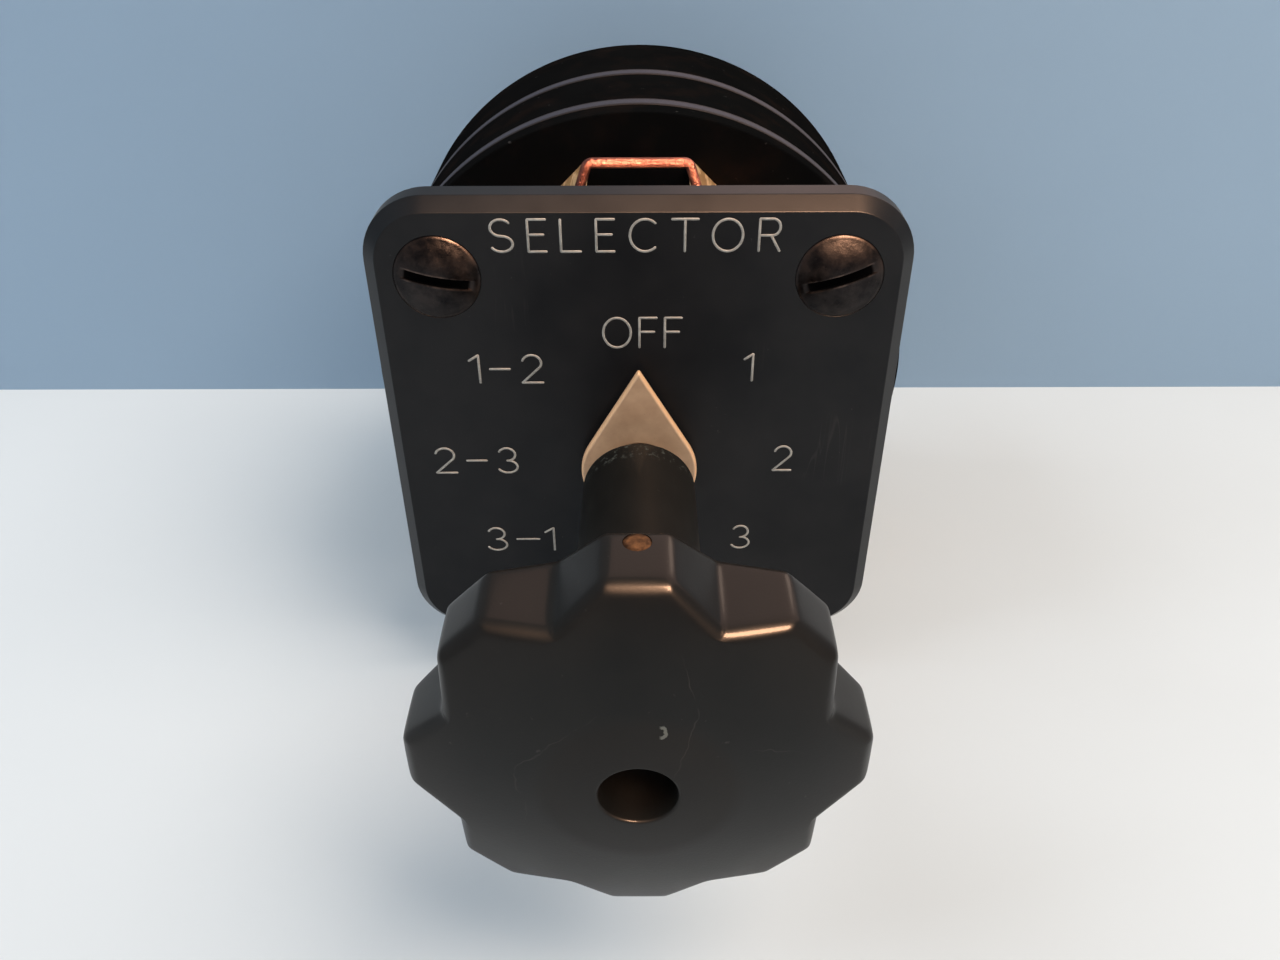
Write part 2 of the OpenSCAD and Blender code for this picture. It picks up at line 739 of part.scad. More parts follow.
module tie_nuts() {
    nut_front = y_back + washer_t;
    color(zinc) for (at = bolt_places) difference() {
        rod(nut_r, nut_front, nut_front + nut_t, at, $fn = 6);
        rod(bolt_r, nut_front - over, nut_front + nut_t + over, at);
    }
}

// A point on the knob's outline, at radius r and angle a from the top
function knob_point(r, a) = [r * sin(a), r * cos(a)];
crest_half_angle = atan(lobe_w / 2 / lobe_r);
crest_corner_r = sqrt(pow(lobe_r, 2) + pow(lobe_w / 2, 2));
lobe_step = 45;
rim_lead = 0.45;
rim_r = crest_corner_r + 0.15;
knob_outline = [
    for (k = [0 : 7]) for (q = [
        knob_point(crest_corner_r, lobe_step * k - crest_half_angle),
        knob_point(crest_corner_r, lobe_step * k + crest_half_angle),
        knob_point(valley_r, lobe_step * (k + 0.5))
    ]) q
];

// The knob's side view, as radius and place along the shaft, without its crown
y_rim = y_knob + crown_drop;
bell_start_r = hub_r + bell_r * (1 - sin(back_angle));
y_bell_start = y_crest_back + (lobe_r - bell_start_r) * tan(back_angle);
y_bell_end = y_bell_start + bell_r * cos(back_angle);
function rim_point(a) = [
    rim_r - rim_round * (1 - sin(a)),
    y_rim - rim_lead + rim_round * (1 - cos(a))
];
function bell_point(a) = [
    hub_r + bell_r * (1 - sin(a)),
    y_bell_end - bell_r * cos(a)
];
knob_side = concat(
    [[0, y_knob - over], [rim_r - rim_round - over, y_knob - over]],
    [for (i = [0 : rim_steps]) rim_point(90 * i / rim_steps)],
    [[rim_r, y_crest_back - (rim_r - lobe_r) * tan(back_angle)]],
    [for (i = [0 : bell_steps]) bell_point(back_angle + (90 - back_angle) * i / bell_steps)],
    [[hub_end_r, y_hub_end], [0, y_hub_end]]
);

module knob() {
    color(plastic_black) difference() {
        union() {
            intersection() {
                turned_shape(knob_side);
                slab(y_knob - 2 * over, y_hub_end) polygon(knob_outline);
                translate([0, y_knob + crown_r, 0]) sphere(r = crown_r, $fn = 96);
            }
            rod(neck_r, y_hub_end, y_pointer);
            rod(spigot_r, y_pointer, y_pointer_back);
        }
        rod(face_hole_r, y_knob - over, y_shaft_front);
        rod(knob_bore_r, y_knob - over, y_pointer_back + over);
        translate([0, y_pin, 0]) cylinder(r = pin_r, h = lobe_r + over, $fn = 48);
    }
}

// A round end with two straight flanks that run to the tip
module pointer() {
    flank = acos(pointer_r / pointer_tip);
    flank_sink = 0.02;
    color(ivory) difference() {
        union() {
            rod(pointer_r, y_pointer, y_pointer_back, $fn = 96);
            slab(y_pointer, y_pointer_back) polygon([
                [0, 0], (pointer_r - flank_sink) * [-sin(flank), cos(flank)],
                [0, pointer_tip], (pointer_r - flank_sink) * [sin(flank), cos(flank)]
            ]);
        }
        rod(spigot_r, y_pointer - over, y_pointer_back + over);
    }
}

module knob_set_pin() {
    color(brass) translate([0, y_pin, shaft_r - pin_bite])
        cylinder(r = pin_r, h = lobe_r - pin_sink - shaft_r + pin_bite, $fn = 48);
}

module operating_shaft() {
    color(zinc) difference() {
        union() {
            rod(shaft_r, y_shaft_front, y_shoulder);
            slab(y_shoulder, y_journal) square(shaft_square, center = true);
            rod(journal_r, y_journal, y_shaft_end);
        }
        translate([0, y_pin, shaft_r - pin_bite]) cylinder(r = pin_r, h = shaft_r, $fn = 48);
        difference() {
            rod(journal_r + over, y_ring, y_ring + ring_t);
            rod(journal_r - groove_in, y_ring - over, y_ring + ring_t + over);
        }
    }
}

// A hole that fits the shaft's square
module square_way(y0, y1) {
    slab(y0 - over, y1 + over) square(shaft_square, center = true);
}

module star_wheel() {
    half = asin(star_flat / 2 / star_tip_r);
    step = 360 / notches;
    color(dark_steel) difference() {
        union() {
            slab(y_star, y_star + star_t) polygon([
                for (k = [0 : notches - 1]) for (q = [
                    knob_point(star_valley_r, step * k),
                    knob_point(star_tip_r, step * (k + 0.5) - half),
                    knob_point(star_tip_r, step * (k + 0.5) + half)
                ]) q
            ]);
            rod(stack_hub_r, y_star, y_stop);
        }
        square_way(y_star, y_stop);
    }
}

module stop_arm() {
    color(dark_steel) difference() {
        union() {
            rod(stack_hub_r, y_stop, y_stop + stop_arm_t);
            slab(y_stop, y_stop + stop_arm_t) translate([-stop_arm_w / 2, -stop_arm_r])
                square([stop_arm_w, stop_arm_r]);
        }
        square_way(y_stop, y_stop + stop_arm_t);
    }
}

function y_rotor(n) = y_middle(n) - rotor_len / 2;
function y_rotor_hub(n) = n == 1 ? y_stop + stop_arm_t : y_rotor(n - 1) + rotor_len;

// Two brass segments lie in the rim, over and under the shaft while the switch is off
module segment_rings(n, thick) {
    for (s = [0, 180]) translate([0, y_middle(n), 0]) rotate([-90, 0, 0])
        rotate([0, 0, s + 90 - segment_angle / 2]) rotate_extrude(angle = segment_angle, $fn = 96)
            translate([rotor_r - segment_t, -segment_len / 2]) square([thick, segment_len]);
}

module stage_rotor(n) {
    color(phenolic_brown) difference() {
        union() {
            rod(rotor_r, y_rotor(n), y_rotor(n) + rotor_len, $fn = 96);
            rod(stack_hub_r, y_rotor_hub(n), y_rotor(n));
        }
        square_way(y_rotor_hub(n), y_rotor(n) + rotor_len);
        segment_rings(n, segment_t + over);
    }
}

module rotor_segments(n) {
    color(brass) segment_rings(n, segment_t);
}

module thrust_washer() {
    color(zinc) difference() {
        rod(ring_r, y_thrust, y_thrust + thrust_t);
        rod(journal_r, y_thrust - over, y_thrust + thrust_t + over);
    }
}

module retaining_ring() {
    ring_in = journal_r - groove_in;
    color(dark_steel) difference() {
        rod(ring_r, y_ring, y_ring + ring_t);
        rod(ring_in, y_ring - over, y_ring + ring_t + over);
        slab(y_ring - over, y_ring + ring_t + over)
            translate([-ring_in, -ring_r - over]) square([2 * ring_in, ring_r + over]);
    }
}

escutcheon_plate();
mounting_screws();
mounting_plate();
spacer_posts();
front_support();
shaft_bushing();
detent_spring();
spring_pegs();
spring_keeper();
keeper_screws();
stop_pins();
barrier_disc(1);  // barrier_disc_1
barrier_disc(2);  // barrier_disc_2
contact_barrel(1);  // contact_barrel_1
contact_barrel(2);  // contact_barrel_2
terminals(1);  // terminals_1
terminals(2);  // terminals_2
terminal_clamps(1);  // terminal_clamps_1
terminal_clamps(2);  // terminal_clamps_2
terminal_screws(1);  // terminal_screws_1
terminal_screws(2);  // terminal_screws_2
contact_fingers(1);  // contact_fingers_1
contact_fingers(2);  // contact_fingers_2
finger_rivets(1);  // finger_rivets_1
finger_rivets(2);  // finger_rivets_2
contact_tips(1);  // contact_tips_1
contact_tips(2);  // contact_tips_2
rear_plate();
rear_bushing();
tie_bolts();
lock_washers();
tie_nuts();
knob();
pointer();
knob_set_pin();
operating_shaft();
star_wheel();
stop_arm();
stage_rotor(1);  // stage_rotor_1
stage_rotor(2);  // stage_rotor_2
rotor_segments(1);  // rotor_segments_1
rotor_segments(2);  // rotor_segments_2
thrust_washer();
retaining_ring();
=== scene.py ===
# %% [markdown]
# # A rotary transfer switch, dressed in Blender
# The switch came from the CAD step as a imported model: its sizes, its joint and its hidden
# mechanism are settled there. This lesson rebuilds each visible piece with soft edges and a
# finish of its own, and lays it exactly where the CAD piece is.
# The shaft lies along Y, the knob faces -Y and +Z is up. Blender counts in metres.

# %% Load the frame
import math
from collections import namedtuple
import bmesh
import bpy
from mathutils import Matrix, Vector


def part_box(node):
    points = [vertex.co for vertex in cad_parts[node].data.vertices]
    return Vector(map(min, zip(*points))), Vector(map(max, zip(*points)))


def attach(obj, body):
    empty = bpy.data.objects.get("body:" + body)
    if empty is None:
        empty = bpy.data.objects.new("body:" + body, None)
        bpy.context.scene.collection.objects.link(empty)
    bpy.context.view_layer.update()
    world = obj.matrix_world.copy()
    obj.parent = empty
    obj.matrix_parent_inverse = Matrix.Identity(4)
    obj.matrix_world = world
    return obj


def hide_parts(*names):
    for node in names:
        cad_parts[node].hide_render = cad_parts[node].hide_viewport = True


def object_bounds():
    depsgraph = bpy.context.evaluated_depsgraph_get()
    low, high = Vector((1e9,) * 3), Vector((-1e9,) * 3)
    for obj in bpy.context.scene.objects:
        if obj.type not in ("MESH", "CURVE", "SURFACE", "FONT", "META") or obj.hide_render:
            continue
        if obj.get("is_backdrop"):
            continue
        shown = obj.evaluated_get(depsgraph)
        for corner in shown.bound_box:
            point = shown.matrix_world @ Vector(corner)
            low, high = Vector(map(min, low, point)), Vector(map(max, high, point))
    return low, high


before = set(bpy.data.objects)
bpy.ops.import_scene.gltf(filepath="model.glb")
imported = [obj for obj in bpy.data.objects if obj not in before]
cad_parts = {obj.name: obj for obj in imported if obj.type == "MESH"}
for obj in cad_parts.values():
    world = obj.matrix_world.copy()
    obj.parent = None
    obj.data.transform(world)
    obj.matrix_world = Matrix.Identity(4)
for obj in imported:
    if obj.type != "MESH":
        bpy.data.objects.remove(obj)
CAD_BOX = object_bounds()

MM = 0.001
HOUSING = "housing"
ROTOR = "rotor"

# %% [markdown]
# ## Hands and eyes
# Every operator works on what is selected, and the loader leaves all CAD nodes selected. So
# each step begins by clearing the selection. Inside a mesh, points and edges are found in
# code by where they are, which is what a hand does with the mouse.

# %% Selecting and settling


def clear():
    """Object mode, with nothing selected."""
    if bpy.context.mode != "OBJECT":
        bpy.ops.object.mode_set(mode="OBJECT")
    bpy.ops.object.select_all(action="DESELECT")


def hold(obj):
    """Makes obj the only selected and active object."""
    clear()
    obj.select_set(True)
    bpy.context.view_layer.objects.active = obj
    return obj


def settle(obj):
    """Puts the object's place, turn and scale into its mesh."""
    hold(obj)
    bpy.ops.object.transform_apply(location=True, rotation=True, scale=True)
    return obj


def named(name):
    """Names the object that an operator has just added, and settles it."""
    obj = bpy.context.object
    obj.name = obj.data.name = name
    return settle(obj)


def edit(obj):
    """Opens obj in edit mode, to work on points."""
    hold(obj)
    bpy.ops.object.mode_set(mode="EDIT")
    bpy.ops.mesh.select_mode(type="VERT")


def pick(obj, kind, test):
    """In edit mode, selects the VERT, EDGE or FACE items whose middle, in mm, passes the test."""
    bpy.ops.mesh.select_mode(type=kind)
    bpy.ops.mesh.select_all(action="DESELECT")
    mesh = bmesh.from_edit_mesh(obj.data)
    for item in {"VERT": mesh.verts, "EDGE": mesh.edges, "FACE": mesh.faces}[kind]:
        points = [item.co] if kind == "VERT" else [v.co for v in item.verts]
        if test(sum(points, Vector()) / len(points) / MM, item):
            item.select_set(True)
    mesh.select_flush_mode()
    bmesh.update_edit_mesh(obj.data)


def near(a, b, slack=0.02):
    """True where two lengths in mm are the same."""
    return abs(a - b) < slack


def round_from(point):
    """Distance of a point from the shaft's axis."""
    return math.hypot(point.x, point.z)


Span = namedtuple("Span", "x0 x1 y0 y1 z0 z1")


def span(node):
    """A CAD node's box in mm."""
    return Span(*(v / MM for pair in zip(*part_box(node)) for v in pair))


# %% Copying, joining and cutting


def twin(obj, name):
    """A copy of obj with its own mesh."""
    copy = obj.copy()
    copy.data = obj.data.copy()
    copy.name = copy.data.name = name
    bpy.context.scene.collection.objects.link(copy)
    return copy


def moved(obj, x=0.0, y=0.0, z=0.0, turn=0.0):
    """Turns obj about the shaft's axis, in degrees, and then moves it, in mm."""
    obj.rotation_euler = (0.0, math.radians(turn), 0.0)
    obj.location = (x * MM, y * MM, z * MM)
    return settle(obj)


def joined(name, pieces):
    """Several objects made one."""
    hold(pieces[0])
    for piece in pieces:
        piece.select_set(True)
    bpy.ops.object.join()
    return named(name)


def spots(name, places, make):
    """One piece at each (x, z) place, joined. The maker gets the place's number."""
    return joined(name, [moved(make(i), x=x, z=z) for i, (x, z) in enumerate(places)])


def apply(obj, kind, **settings):
    """Adds a modifier, sets it up and makes its work part of the mesh."""
    hold(obj)
    modifier = obj.modifiers.new(kind.lower(), kind)
    for key, value in settings.items():
        setattr(modifier, key, value)
    bpy.ops.object.modifier_apply(modifier=modifier.name)
    return obj


def heal(obj):
    """Merges points that lie on each other, and turns all faces outwards."""
    edit(obj)
    bpy.ops.mesh.select_all(action="SELECT")
    bpy.ops.mesh.remove_doubles(threshold=0.0005 * MM)
    bpy.ops.mesh.normals_make_consistent(inside=False)
    clear()
    return obj


def mirrored(obj, name, axis):
    """A mirror copy of obj, with its faces turned outwards again."""
    copy = twin(obj, name)
    copy.scale = [-1.0 if a == axis else 1.0 for a in "XYZ"]
    edit(settle(copy))
    bpy.ops.mesh.select_all(action="SELECT")
    bpy.ops.mesh.normals_make_consistent(inside=False)
    clear()
    return copy


def combine(obj, tool, kind):
    """Cuts obj with a tool, welds the tool to it, or keeps what both share."""
    apply(obj, "BOOLEAN", operation=kind, solver="EXACT", object=tool)
    bpy.data.objects.remove(tool)
    return heal(obj)


def cut(obj, *tools):
    """Takes the tools' shapes out of obj."""
    for tool in tools:
        combine(obj, tool, "DIFFERENCE")
    return obj


def weld(obj, *tools):
    """Adds the tools' shapes to obj."""
    for tool in tools:
        combine(obj, tool, "UNION")
    return obj


# %% Softening edges


def polish(obj, smooth=32.0):
    """Smooth shading in which the broad faces stay flat."""
    hold(obj)
    bpy.ops.object.shade_smooth_by_angle(angle=math.radians(smooth))
    return apply(obj, "WEIGHTED_NORMAL", keep_sharp=True)


def soften(obj, width, segments=3, angle=30.0, smooth=32.0):
    """Rounds each edge that is sharper than the angle, then polishes."""
    apply(obj, "BEVEL", width=width * MM, segments=segments, limit_method="ANGLE",
          angle_limit=math.radians(angle), loop_slide=False)
    return polish(obj, smooth)


def round_edges(obj, axis, width, segments, test=lambda middle: True):
    """Rounds the edges that run along the axis, if their middle passes the test."""
    def wanted(middle, edge):
        step = (edge.verts[1].co - edge.verts[0].co) / MM
        return near(step.length, abs(step["XYZ".index(axis)]), 0.001) and test(middle)
    edit(obj)
    pick(obj, "EDGE", wanted)
    bpy.ops.mesh.bevel(offset=width * MM, segments=segments, affect="EDGES")
    clear()
    return obj


# %% Turning, sawing and drilling


def slide(x, y, z):
    """Moves the selected points, in mm."""
    bpy.ops.transform.translate(value=(x * MM, y * MM, z * MM))


def draw_out(x, y, z):
    """Extrudes the selected points, edges or faces, in mm."""
    bpy.ops.mesh.extrude_region_move(TRANSFORM_OT_translate={"value": (x * MM, y * MM, z * MM)})


def chain(name, path):
    """A row of points and edges through the (x, y, z) of a path, in mm, left in edit mode."""
    clear()
    bpy.ops.mesh.primitive_plane_add(size=1.0)
    obj = bpy.context.object
    obj.name = obj.data.name = name
    edit(obj)
    bpy.ops.mesh.select_all(action="SELECT")
    bpy.ops.mesh.merge(type="CENTER")
    slide(*path[0])
    for start, end in zip(path, path[1:]):
        draw_out(*(b - a for a, b in zip(start, end)))
    return obj


def thicken(curve, r, facets):
    """Gives the selected curve a round section with closed ends, and makes it a mesh."""
    curve.bevel_depth = r * MM
    curve.bevel_resolution = facets
    curve.use_fill_caps = True
    bpy.ops.object.convert(target="MESH")


def turned(name, profile, steps=96):
    """A lathe piece round the shaft's axis. The profile is (radius, place along Y) in mm."""
    obj = chain(name, [(r, y, 0.0) for r, y in profile])
    bpy.ops.mesh.select_all(action="SELECT")
    bpy.ops.mesh.spin(steps=steps, angle=math.tau, center=(0, 0, 0), axis=(0, 1, 0))
    return heal(obj)


def rod(name, r, y0, y1, lip=0.0, steps=64):
    """A round bar along Y, with small chamfers if it has a lip."""
    profile = [(0, y0), (r, y0), (r, y1), (0, y1)]
    if lip:
        profile[1:3] = [(r - lip, y0), (r, y0 + lip), (r, y1 - lip), (r - lip, y1)]
    return turned(name, profile, steps)


def collar(name, r_in, r_out, y0, y1, lip, steps=72):
    """A round ring with small chamfers."""
    return turned(name, [
        (r_in + lip, y0), (r_out - lip, y0), (r_out, y0 + lip), (r_out, y1 - lip), (r_out - lip, y1),
        (r_in + lip, y1), (r_in, y1 - lip), (r_in, y0 + lip), (r_in + lip, y0)], steps)


def block(name, x0, x1, y0, y1, z0, z1):
    """A sawn block between two corners, in mm."""
    sides = ((x0, x1), (y0, y1), (z0, z1))
    clear()
    bpy.ops.mesh.primitive_cube_add(size=1.0, location=[(a + b) / 2 * MM for a, b in sides],
                                    scale=[(b - a) * MM for a, b in sides])
    return named(name)


def prism(name, vertices, r, y0, y1):
    """A bar along Y with so many flat sides."""
    clear()
    bpy.ops.mesh.primitive_cylinder_add(
        vertices=vertices, radius=r * MM, depth=(y1 - y0) * MM,
        location=(0, (y0 + y1) / 2 * MM, 0), rotation=(math.pi / 2, 0, 0))
    return named(name)


MADE = []


def place(obj, material, slot_name, *nodes, body=HOUSING):
    """Gives a finished piece its finish and its body, and hides the CAD nodes it stands for. Its slot
    name is not used.
    """
    obj.data.materials.clear()
    obj.data.materials.append(material)
    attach(obj, body)
    if nodes:
        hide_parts(*nodes)
    MADE.append(obj.name)
    print(f"{obj.name}: {len(obj.data.polygons)} faces, rides on {body}")


# %% [markdown]
# ## Finishes
# A finish is a small network of nodes that all read Object coordinates, so a pattern stays
# on its piece when the knob turns. Each one has the same bones: a colour that drifts a
# little, a roughness that drifts with it, and a bump for the grain. What the hand has done
# to the piece comes on top: edges worn by rubbing, scratches and dust. Some finishes also
# carry painted light on top: painted highlights, a painted sheen and painted shade.

# %% Tones, which can be added and multiplied like numbers


class Tone:
    """A number or colour that varies over a piece. Sums with it become Math nodes."""

    def __init__(self, bench, socket):
        self.bench = bench
        self.socket = socket

    def __add__(self, other):
        return self.bench.math("ADD", self, other)

    def __sub__(self, other):
        return self.bench.math("SUBTRACT", self, other)

    def __mul__(self, other):
        return self.bench.math("MULTIPLY", self, other)

    def __abs__(self):
        return self.bench.math("ABSOLUTE", self)

    def most(self, other):
        """The larger of the two, place by place."""
        return self.bench.math("MAXIMUM", self, other)

    def ramp(self, low, high, start=0.0, end=1.0):
        """Maps low..high to start..end, held at both ends."""
        return self.bench.node("ShaderNodeMapRange", {
            "Value": self, "From Min": low, "From Max": high, "To Min": start, "To Max": end}, "Result")

    def fade(self, low, high):
        """One below low, falling to zero at high."""
        return self.ramp(low, high, 1.0, 0.0)

    def band(self, middle, half, soft):
        """One near the middle value, zero beyond its half width."""
        return abs(self - middle).fade(half, half + soft)


# %% A bench for building finishes


class Finish:
    """A material under construction, with short names for the nodes it needs."""

    def __init__(self, name):
        self.material = bpy.data.materials.new(name)
        self.material.use_nodes = True
        self.tree = self.material.node_tree
        self.shader = self.tree.nodes["Principled BSDF"]
        self.coords = self.node("ShaderNodeTexCoord", {}, "Object")

    def node(self, kind, inputs, output, **settings):
        made = self.tree.nodes.new(kind)
        for key, value in settings.items():
            setattr(made, key, value)
        for socket, value in inputs.items():
            self.feed(made.inputs[socket], value)
        return Tone(self, made.outputs[output])

    def feed(self, socket, value):
        """Links a tone to a socket, or writes a number or a colour on it."""
        if isinstance(value, Tone):
            self.tree.links.new(value.socket, socket)
        else:
            socket.default_value = (*value, 1.0) if socket.type == "RGBA" else value

    def math(self, operation, a, b=0.0):
        return self.node("ShaderNodeMath", {0: a, 1: b}, "Value", operation=operation)

    def mapped(self, stretch=(1, 1, 1), turn=0.0):
        """Object coordinates in mm, turned about Y and stretched."""
        return self.node("ShaderNodeMapping", {
            "Vector": self.coords, "Rotation": (0, math.radians(turn), 0),
            "Scale": [s / MM for s in stretch]}, "Vector")

    def noise(self, per_mm, detail=4.0, roughness=0.55, stretch=(1, 1, 1), turn=0.0, warp=0.0):
        """Noise with so many swells to the millimetre."""
        return self.node("ShaderNodeTexNoise", {
            "Vector": self.mapped(stretch, turn), "Scale": per_mm, "Detail": detail,
            "Roughness": roughness, "Distortion": warp}, "Fac")

    def dust(self, per_mm, limit):
        """Small specks, fewer with a higher limit."""
        return self.noise(per_mm, 2.0, 0.6).ramp(limit, limit + 0.06)

    def along(self, axis):
        """Place along an axis in mm."""
        return self.node("ShaderNodeSeparateXYZ", {"Vector": self.mapped()}, axis)

    def hypot(self, a, b):
        return self.math("SQRT", a * a + b * b)

    def distance(self, x=0.0, z=0.0):
        """Distance in mm from a line along Y through (x, z)."""
        return self.hypot(self.along("X") - x, self.along("Z") - z)

    def blend(self, fac, a, b, kind="FLOAT"):
        """A value between a and b."""
        return self.node("ShaderNodeMix", {"Factor": fac, "A": a, "B": b}, "Result", data_type=kind)

    def coats(self, base, *coats):
        """A base colour with other colours laid over it, each by its mask."""
        for mask, colour in coats:
            base = self.blend(mask, base, colour, "RGBA")
        return base

    def done(self, colour, roughness, metallic=0.0, height=None, strength=0.2, depth=0.05, **fixed):
        """Wires the shader, with a bump as deep as depth in mm, and sets its fixed values."""
        inputs = self.shader.inputs
        self.feed(inputs["Base Color"], colour)
        self.feed(inputs["Roughness"], roughness)
        self.feed(inputs["Metallic"], metallic)
        if height:
            self.feed(inputs["Normal"], self.node("ShaderNodeBump", {
                "Strength": strength, "Distance": depth * MM, "Height": height}, "Normal"))
        for name, value in fixed.items():
            inputs[name.replace("_", " ")].default_value = value
        return self.material


# %% Satin black for the escutcheon


def escutcheon_black():
    """Satin black engraving stock, slightly mottled, with faint handling marks."""
    f = Finish("escutcheon_satin_black")
    drift = f.noise(0.10, 3.0)
    lines = f.noise(0.45, 2.0, 0.4, stretch=(1.0, 0.12, 0.06), turn=24.0, warp=0.6)
    marks = abs(lines - 0.5).fade(0.0, 0.008) * f.noise(0.06, 3.0).ramp(0.60, 0.68)
    colour = f.coats(
        (0.0078, 0.0086, 0.0099), (drift.ramp(0.3, 0.7), (0.0138, 0.0145, 0.0156)),
        (f.dust(1.5, 0.74) * 0.30, (0.09, 0.085, 0.08)), (marks * 0.16, (0.07, 0.07, 0.07)))
    rough = f.blend(marks, drift.ramp(0.3, 0.7, 0.30, 0.38), 0.5)
    return f.done(colour, rough, 0.0, f.noise(5.0, 3.0, 0.6), 0.25, 0.02, Specular_IOR_Level=0.15)


BLACK_PLATE = escutcheon_black()
print("finish:", BLACK_PLATE.name)

# %% Polished black for the knob
KNOB = span("knob")
POINTER = span("pointer")
CHIP_X, CHIP_Z = 1.75, 7.6

# Each hairline is an arc: its centre (x, z), radius and half width, its side, and where it starts
HAIRLINES = [(0.2, -1.0, 10.6, 0.03, -1, 3.6), (-9.0, 9.0, 13.5, 0.02, 1, 11.0),
             (6.0, -14.0, 19.0, 0.02, 1, 4.0)]


def knob_black():
    """Moulded phenolic that hands have polished: hairlines, a hooked chip, and flecks on the hub."""
    f = Finish("knob_moulded_black")
    drift = f.noise(0.08, 4.0)
    out = f.distance()
    on_face = f.along("Y").fade(KNOB.y0 + 3.0, KNOB.y0 + 4.0)
    wander = f.noise(0.16, 3.0).ramp(0.3, 0.7, -0.9, 0.9)
    arcs = [(f.distance(x, z) + wander).band(r, half, 0.05)
            * ((f.along("X") - x) * side).ramp(start - 0.5, start + 1.5)
            for x, z, r, half, side, start in HAIRLINES]
    hairs = arcs[0].most(arcs[1]).most(arcs[2]) * f.noise(0.35, 3.0).ramp(0.40, 0.56)
    hairs = hairs * on_face * out.fade(13.0, 15.5)
    ragged = f.noise(2.4, 3.0).ramp(0.3, 0.7, -0.12, 0.12)
    hook = (f.distance(CHIP_X, CHIP_Z) + ragged).band(0.55, 0.10, 0.08)
    chip = hook * on_face * (f.along("X") - CHIP_X).ramp(0.0, 0.2)
    hub_end = f.along("Y").band(POINTER.y0 - 5.0, 0.9, 1.0) * out.fade(7.2, 7.6)
    colour = f.coats(
        (0.0042, 0.0048, 0.0045), (drift.ramp(0.3, 0.7), (0.0078, 0.0084, 0.0078)),
        # Browner and a little lighter towards the crests: a painted warm sheen.
        (out.ramp(14.0, 20.5) * 0.35, (0.018, 0.013, 0.010)),
        (f.dust(1.1, 0.73) * 0.22, (0.10, 0.09, 0.08)),
        (f.dust(1.9, 0.58) * hub_end * 0.7, (0.055, 0.058, 0.050)),
        (chip * 0.7, (0.20, 0.20, 0.17)), (hairs * 0.20, (0.09, 0.085, 0.08)))
    rough = f.blend(hairs.most(chip), drift.ramp(0.3, 0.7, 0.33, 0.43), 0.6)
    rough = rough + out.ramp(8.0, 9.5, 0.14, 0.0) + out.ramp(3.1, 3.4, 0.35, 0.0)
    return f.done(colour, rough, 0.0, f.noise(3.5, 4.0, 0.6), 0.3, 0.03,
                  Specular_IOR_Level=0.12, Coat_Weight=0.14, Coat_Roughness=0.14)


BLACK_KNOB = knob_black()
print("finish:", BLACK_KNOB.name)

# %% Black mouldings and grey fibre for the body
DISCS = [span("barrier_disc_1"), span("barrier_disc_2")]


def body_black():
    """Black mouldings with a soft ripple, brown blotches of painted sheen and a little dust."""
    f = Finish("body_moulded_black")
    drift = f.noise(0.12, 3.0)
    specks = f.dust(0.9, 0.72)
    colour = f.coats(
        (0.0030, 0.0030, 0.0031), (drift, (0.0062, 0.0059, 0.0057)),
        # Brown blotches: a painted sheen in place of brown glints on the black.
        (f.noise(0.16, 4.0, 0.6).ramp(0.50, 0.68) * 0.5, (0.012, 0.0075, 0.006)),
        (specks * 0.35, (0.10, 0.09, 0.085)))
    rough = f.blend(specks, drift.ramp(0.3, 0.7, 0.34, 0.46), 0.7)
    return f.done(colour, rough, 0.0, f.noise(0.35, 2.0), 0.12, 0.05, Specular_IOR_Level=0.0)


def fibre_grey():
    """Pressed grey fibre: its edge shows layers and a lilac bloom, and both its rims are darkened with
    painted shade.
    """
    f = Finish("barrier_fibre_grey")
    layers = f.noise(3.0, 3.0, 0.6, stretch=(0.15, 1.0, 0.15))
    fleck = f.noise(2.2, 4.0)
    colour = f.coats((0.030, 0.030, 0.040), (layers, (0.055, 0.055, 0.070)),
                     (fleck.ramp(0.55, 0.75) * 0.4, (0.085, 0.082, 0.086)))
    for disc in DISCS:
        off = abs(f.along("Y") - (disc.y0 + disc.y1) / 2)
        # Both rims of each disc darkened: painted shade where the disc meets the black mouldings.
        painted_shade = off.ramp(0.62, 0.95) * off.fade(2.0, 2.2)
        colour = f.coats(colour, (painted_shade * 0.85, (0.012, 0.011, 0.011)))
    rough = fleck.ramp(0.3, 0.7, 0.5, 0.65)
    return f.done(colour, rough, 0.0, layers, 0.4, 0.04, Specular_IOR_Level=0.1)


BLACK_BODY = body_black()
GREY_FIBRE = fibre_grey()
print("finishes:", BLACK_BODY.name, GREY_FIBRE.name)

# %% [markdown]
# ## Metals and small mouldings
# A metal takes its colour in its reflection, so the metallic input is full and the colour is
# that of the metal itself. Drawn strip and turned parts have long fine grain along the way
# they were worked.

# %% Worked metals


def metal(name, dark, light, rough, stain=None, grain=(1, 1, 1), per_mm=2.0, depth=0.02):
    """A worked metal: grain stretched one way, patches of tone, and an optional stain."""
    f = Finish(name)
    lines = f.noise(per_mm, 4.0, 0.65, stretch=grain)
    patches = f.noise(0.22, 4.0)
    colour = f.coats(dark, (patches.ramp(0.3, 0.7), light), (lines.ramp(0.45, 0.75) * 0.25, light))
    if stain:
        colour = f.coats(colour, (f.noise(0.8, 4.0, 0.7).ramp(0.58, 0.72) * 0.7, stain))
    return f.done(colour, (lines * 0.5 + patches * 0.5).ramp(0.35, 0.65, *rough), 1.0, lines, 0.35, depth)


